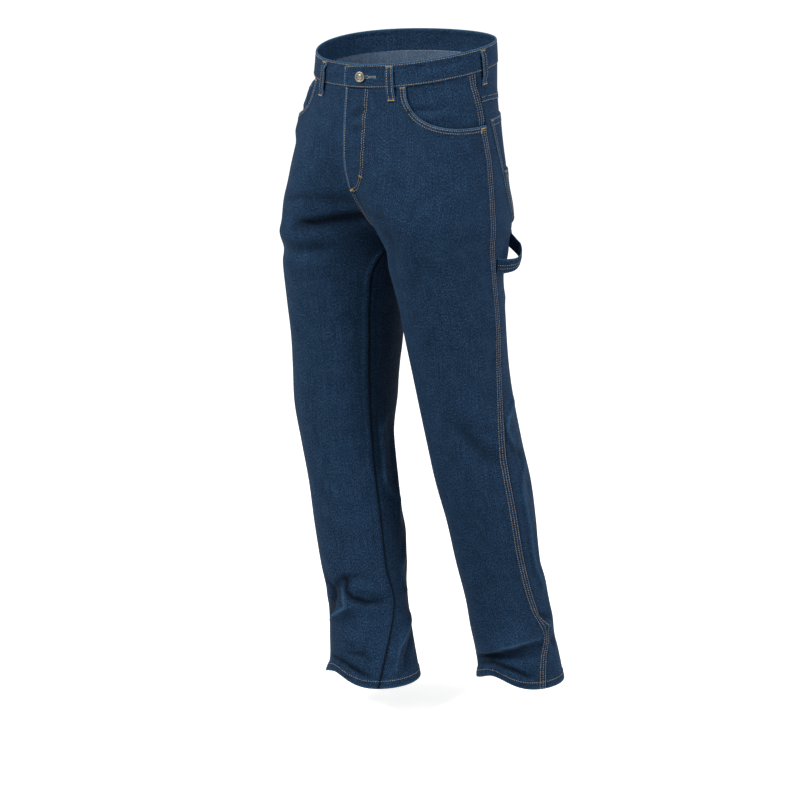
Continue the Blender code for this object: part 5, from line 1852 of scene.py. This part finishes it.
def make_button():
    bpy.ops.object.select_all(action="DESELECT")
    bpy.ops.mesh.primitive_cylinder_add(vertices=48, radius=CAP_RADIUS - 0.0007, depth=CAP_HIGH - CAP_LOW,
                                        location=(0.0, 0.0, (CAP_LOW + CAP_HIGH) / 2))
    cap = bpy.context.object
    bpy.ops.object.transform_apply(location=True)
    select_top(cap.data)
    bpy.ops.transform.resize(value=(1.09, 1.09, 1.0))
    for thickness, depth in CAP_RINGS:
        bpy.ops.mesh.inset(thickness=thickness, depth=depth)
    bpy.ops.object.mode_set(mode="OBJECT")
    bevel = cap.modifiers.new("soft_edges", "BEVEL")
    bevel.width, bevel.segments, bevel.limit_method = 0.00028, 3, "ANGLE"
    bevel.angle_limit = math.radians(24)
    bpy.ops.object.modifier_apply(modifier=bevel.name)
    bpy.ops.mesh.primitive_cylinder_add(vertices=32, radius=SHANK_RADIUS, depth=SHANK_HEIGHT,
                                        location=(0.0, 0.0, SHANK_HEIGHT / 2))
    shank = bpy.context.object
    bpy.ops.object.select_all(action="DESELECT")
    shank.select_set(True)
    cap.select_set(True)
    bpy.context.view_layer.objects.active = cap
    bpy.ops.object.join()
    bpy.ops.object.shade_smooth_by_angle(angle=math.radians(38))
    cap.name = cap.data.name = "button_cap_and_shank"
    return cap


def seat_button(made):
    """Moves the mesh onto the waistband. The cap leans a little toward the buttonhole's pull."""
    surface = WAISTBAND_OUT + OVERLAP_LIFT * (1.0 - float(smooth_step(*OVERLAP_FADE, BUTTON_TURN)))
    low, high = (band_point(BUTTON_HEIGHT, BUTTON_TURN, surface + out) for out in (0.0006, 0.0106))
    axis = (high - low) / np.linalg.norm(high - low)
    side = np.cross(axis, [0.0, 0.0, 1.0])
    axis = axis - CAP_LEAN * side / np.linalg.norm(side)
    axis /= np.linalg.norm(axis)
    side = np.cross(axis, [0.0, 0.0, 1.0])
    side /= np.linalg.norm(side)
    up = np.cross(side, axis)
    turned = Matrix(np.column_stack([side, up, axis]).tolist()).to_4x4()
    count = len(made.data.vertices)
    flat = np.empty(count * 3)
    made.data.vertices.foreach_get("co", flat)
    flat = flat.reshape(-1, 3)
    reach = np.hypot(flat[:, 0], flat[:, 1])
    sunk = np.clip((CAP_HIGH + 0.0006 - flat[:, 2]) / 0.0009, 0.0, 1.0) * (reach < CAP_RADIUS - 0.0012)
    painted_shade_and_tarnish = made.data.attributes.new("painted_shade_and_tarnish", "FLOAT", "POINT")
    painted_shade_and_tarnish.data.foreach_set("value", (0.42 * sunk).astype(np.float32))
    made.data.transform(Matrix.Translation(low.tolist()) @ turned)
    made.data.materials.clear()
    made.data.materials.append(button_metal)


button = make_button()
seat_button(button)
print("button", round(CAP_RADIUS * 2000, 1), "mm wide,", len(button.data.polygons), "faces")

# %% [markdown]
# ## What the pieces are
# Each piece of cloth takes the place of its plain solid and keeps its flat cut, measured on the grid
# it was made from. The wearer's waist holds the band, the panels hang from it, and patches, loops and
# facings lie on the panels they are sewn to. Thread and button go with the same single body.

HELD = (
    ("draped", [], ["waistband"]),
    ("hung", ["waistband"], ["front_left", "front_right"]),
    ("hung", ["yoke_left"], ["back_left"]),
    ("hung", ["yoke_right"], ["back_right"]),
    ("hung", ["waistband"], ["yoke_left", "yoke_right", "pocket_facing_left", "pocket_facing_right"]),
    ("laid", ["pocket_facing_right"], ["watch_pocket"]),
    ("laid", ["front_left"], ["fly_facing"]),
    ("laid", ["back_left"], ["back_pocket_left"]),
    ("laid", ["back_right"], ["back_pocket_right"]),
    ("laid", ["back_pocket_left"], ["tool_pocket"]),
    ("folded", ["front_left", "back_left"], ["hammer_loop"]),
    ("folded", ["waistband"], list(LOOP_TURNS)),
)


def declare(each):
    piece = pieces[each]
    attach(piece, "root")
    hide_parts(each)


for held, under, names in HELD:
    for each in names:
        declare(each)

for made in threads:
    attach(made, "root")
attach(button, "root")
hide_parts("button")

# %% [markdown]
# ## Floor and light
# The photograph shows the trousers in an even, pale studio. One wide soft light comes from the camera's
# left and above, a weaker one from its right lifts the rear of the legs, and the pale surroundings
# fill the rest, more from above than from below. The floor only ends the picture plainly.

# %% Floor
FLOOR_HEIGHT, FLOOR_RADIUS = -1.10, 30.0
bpy.ops.mesh.primitive_circle_add(vertices=96, radius=FLOOR_RADIUS, fill_type="NGON",
                                  location=(0.0, 0.0, FLOOR_HEIGHT))
floor = bpy.context.object
floor.name = "studio_floor"
floor_paint, _, floor_shader = start_material("pale_studio_floor", 0.9)
floor_shader.inputs["Base Color"].default_value = (0.90, 0.90, 0.90, 1.0)
floor_shader.inputs["Emission Color"].default_value = (1.0, 1.0, 1.0, 1.0)
floor_shader.inputs["Emission Strength"].default_value = 0.66
floor.data.materials.append(floor_paint)
floor.visible_diffuse = False  # the floor would light every fold from below
print("floor at", FLOOR_HEIGHT)

# %% Surroundings and lamps
world = bpy.data.worlds.new("studio")
bpy.context.scene.world = world
world.use_nodes = True
sky = world.node_tree
background = sky.nodes["Background"]
path = node(sky, "ShaderNodeLightPath")
upward = node(sky, "ShaderNodeSeparateXYZ", Vector=node(sky, "ShaderNodeTexCoord").outputs["Generated"])
fill = stretched(sky, upward.outputs["Z"], -0.6, 0.8, 0.16, 0.50)
strength = node(sky, "ShaderNodeMix", {"data_type": "FLOAT"}, i0=path.outputs["Is Camera Ray"],
                i2=fill, i3=1.0)
sky.links.new(strength.outputs[0], background.inputs["Strength"])
background.inputs["Color"].default_value = (1.0, 1.0, 1.0, 1.0)


def area_lamp(name, place, aim, size, power, tint):
    data = bpy.data.lights.new(name, "AREA")
    data.shape, data.size, data.energy, data.color = "DISK", size, power, tint
    lamp = bpy.data.objects.new(name, data)
    lamp.location = place
    lamp.rotation_mode = "QUATERNION"
    lamp.rotation_quaternion = (Vector(aim) - Vector(place)).to_track_quat("-Z", "Y")
    bpy.context.scene.collection.objects.link(lamp)


KNEES = (0.0, 0.0, -0.5)
area_lamp("key_lamp", (-0.4, -3.8, 2.6), KNEES, 1.8, 212.0, (1.0, 0.985, 0.96))
area_lamp("rim_lamp", (4.2, 1.2, 1.2), KNEES, 2.2, 130.0, (0.96, 0.98, 1.0))
bpy.context.scene.view_settings.view_transform = "Standard"
print("two lamps and pale surroundings")
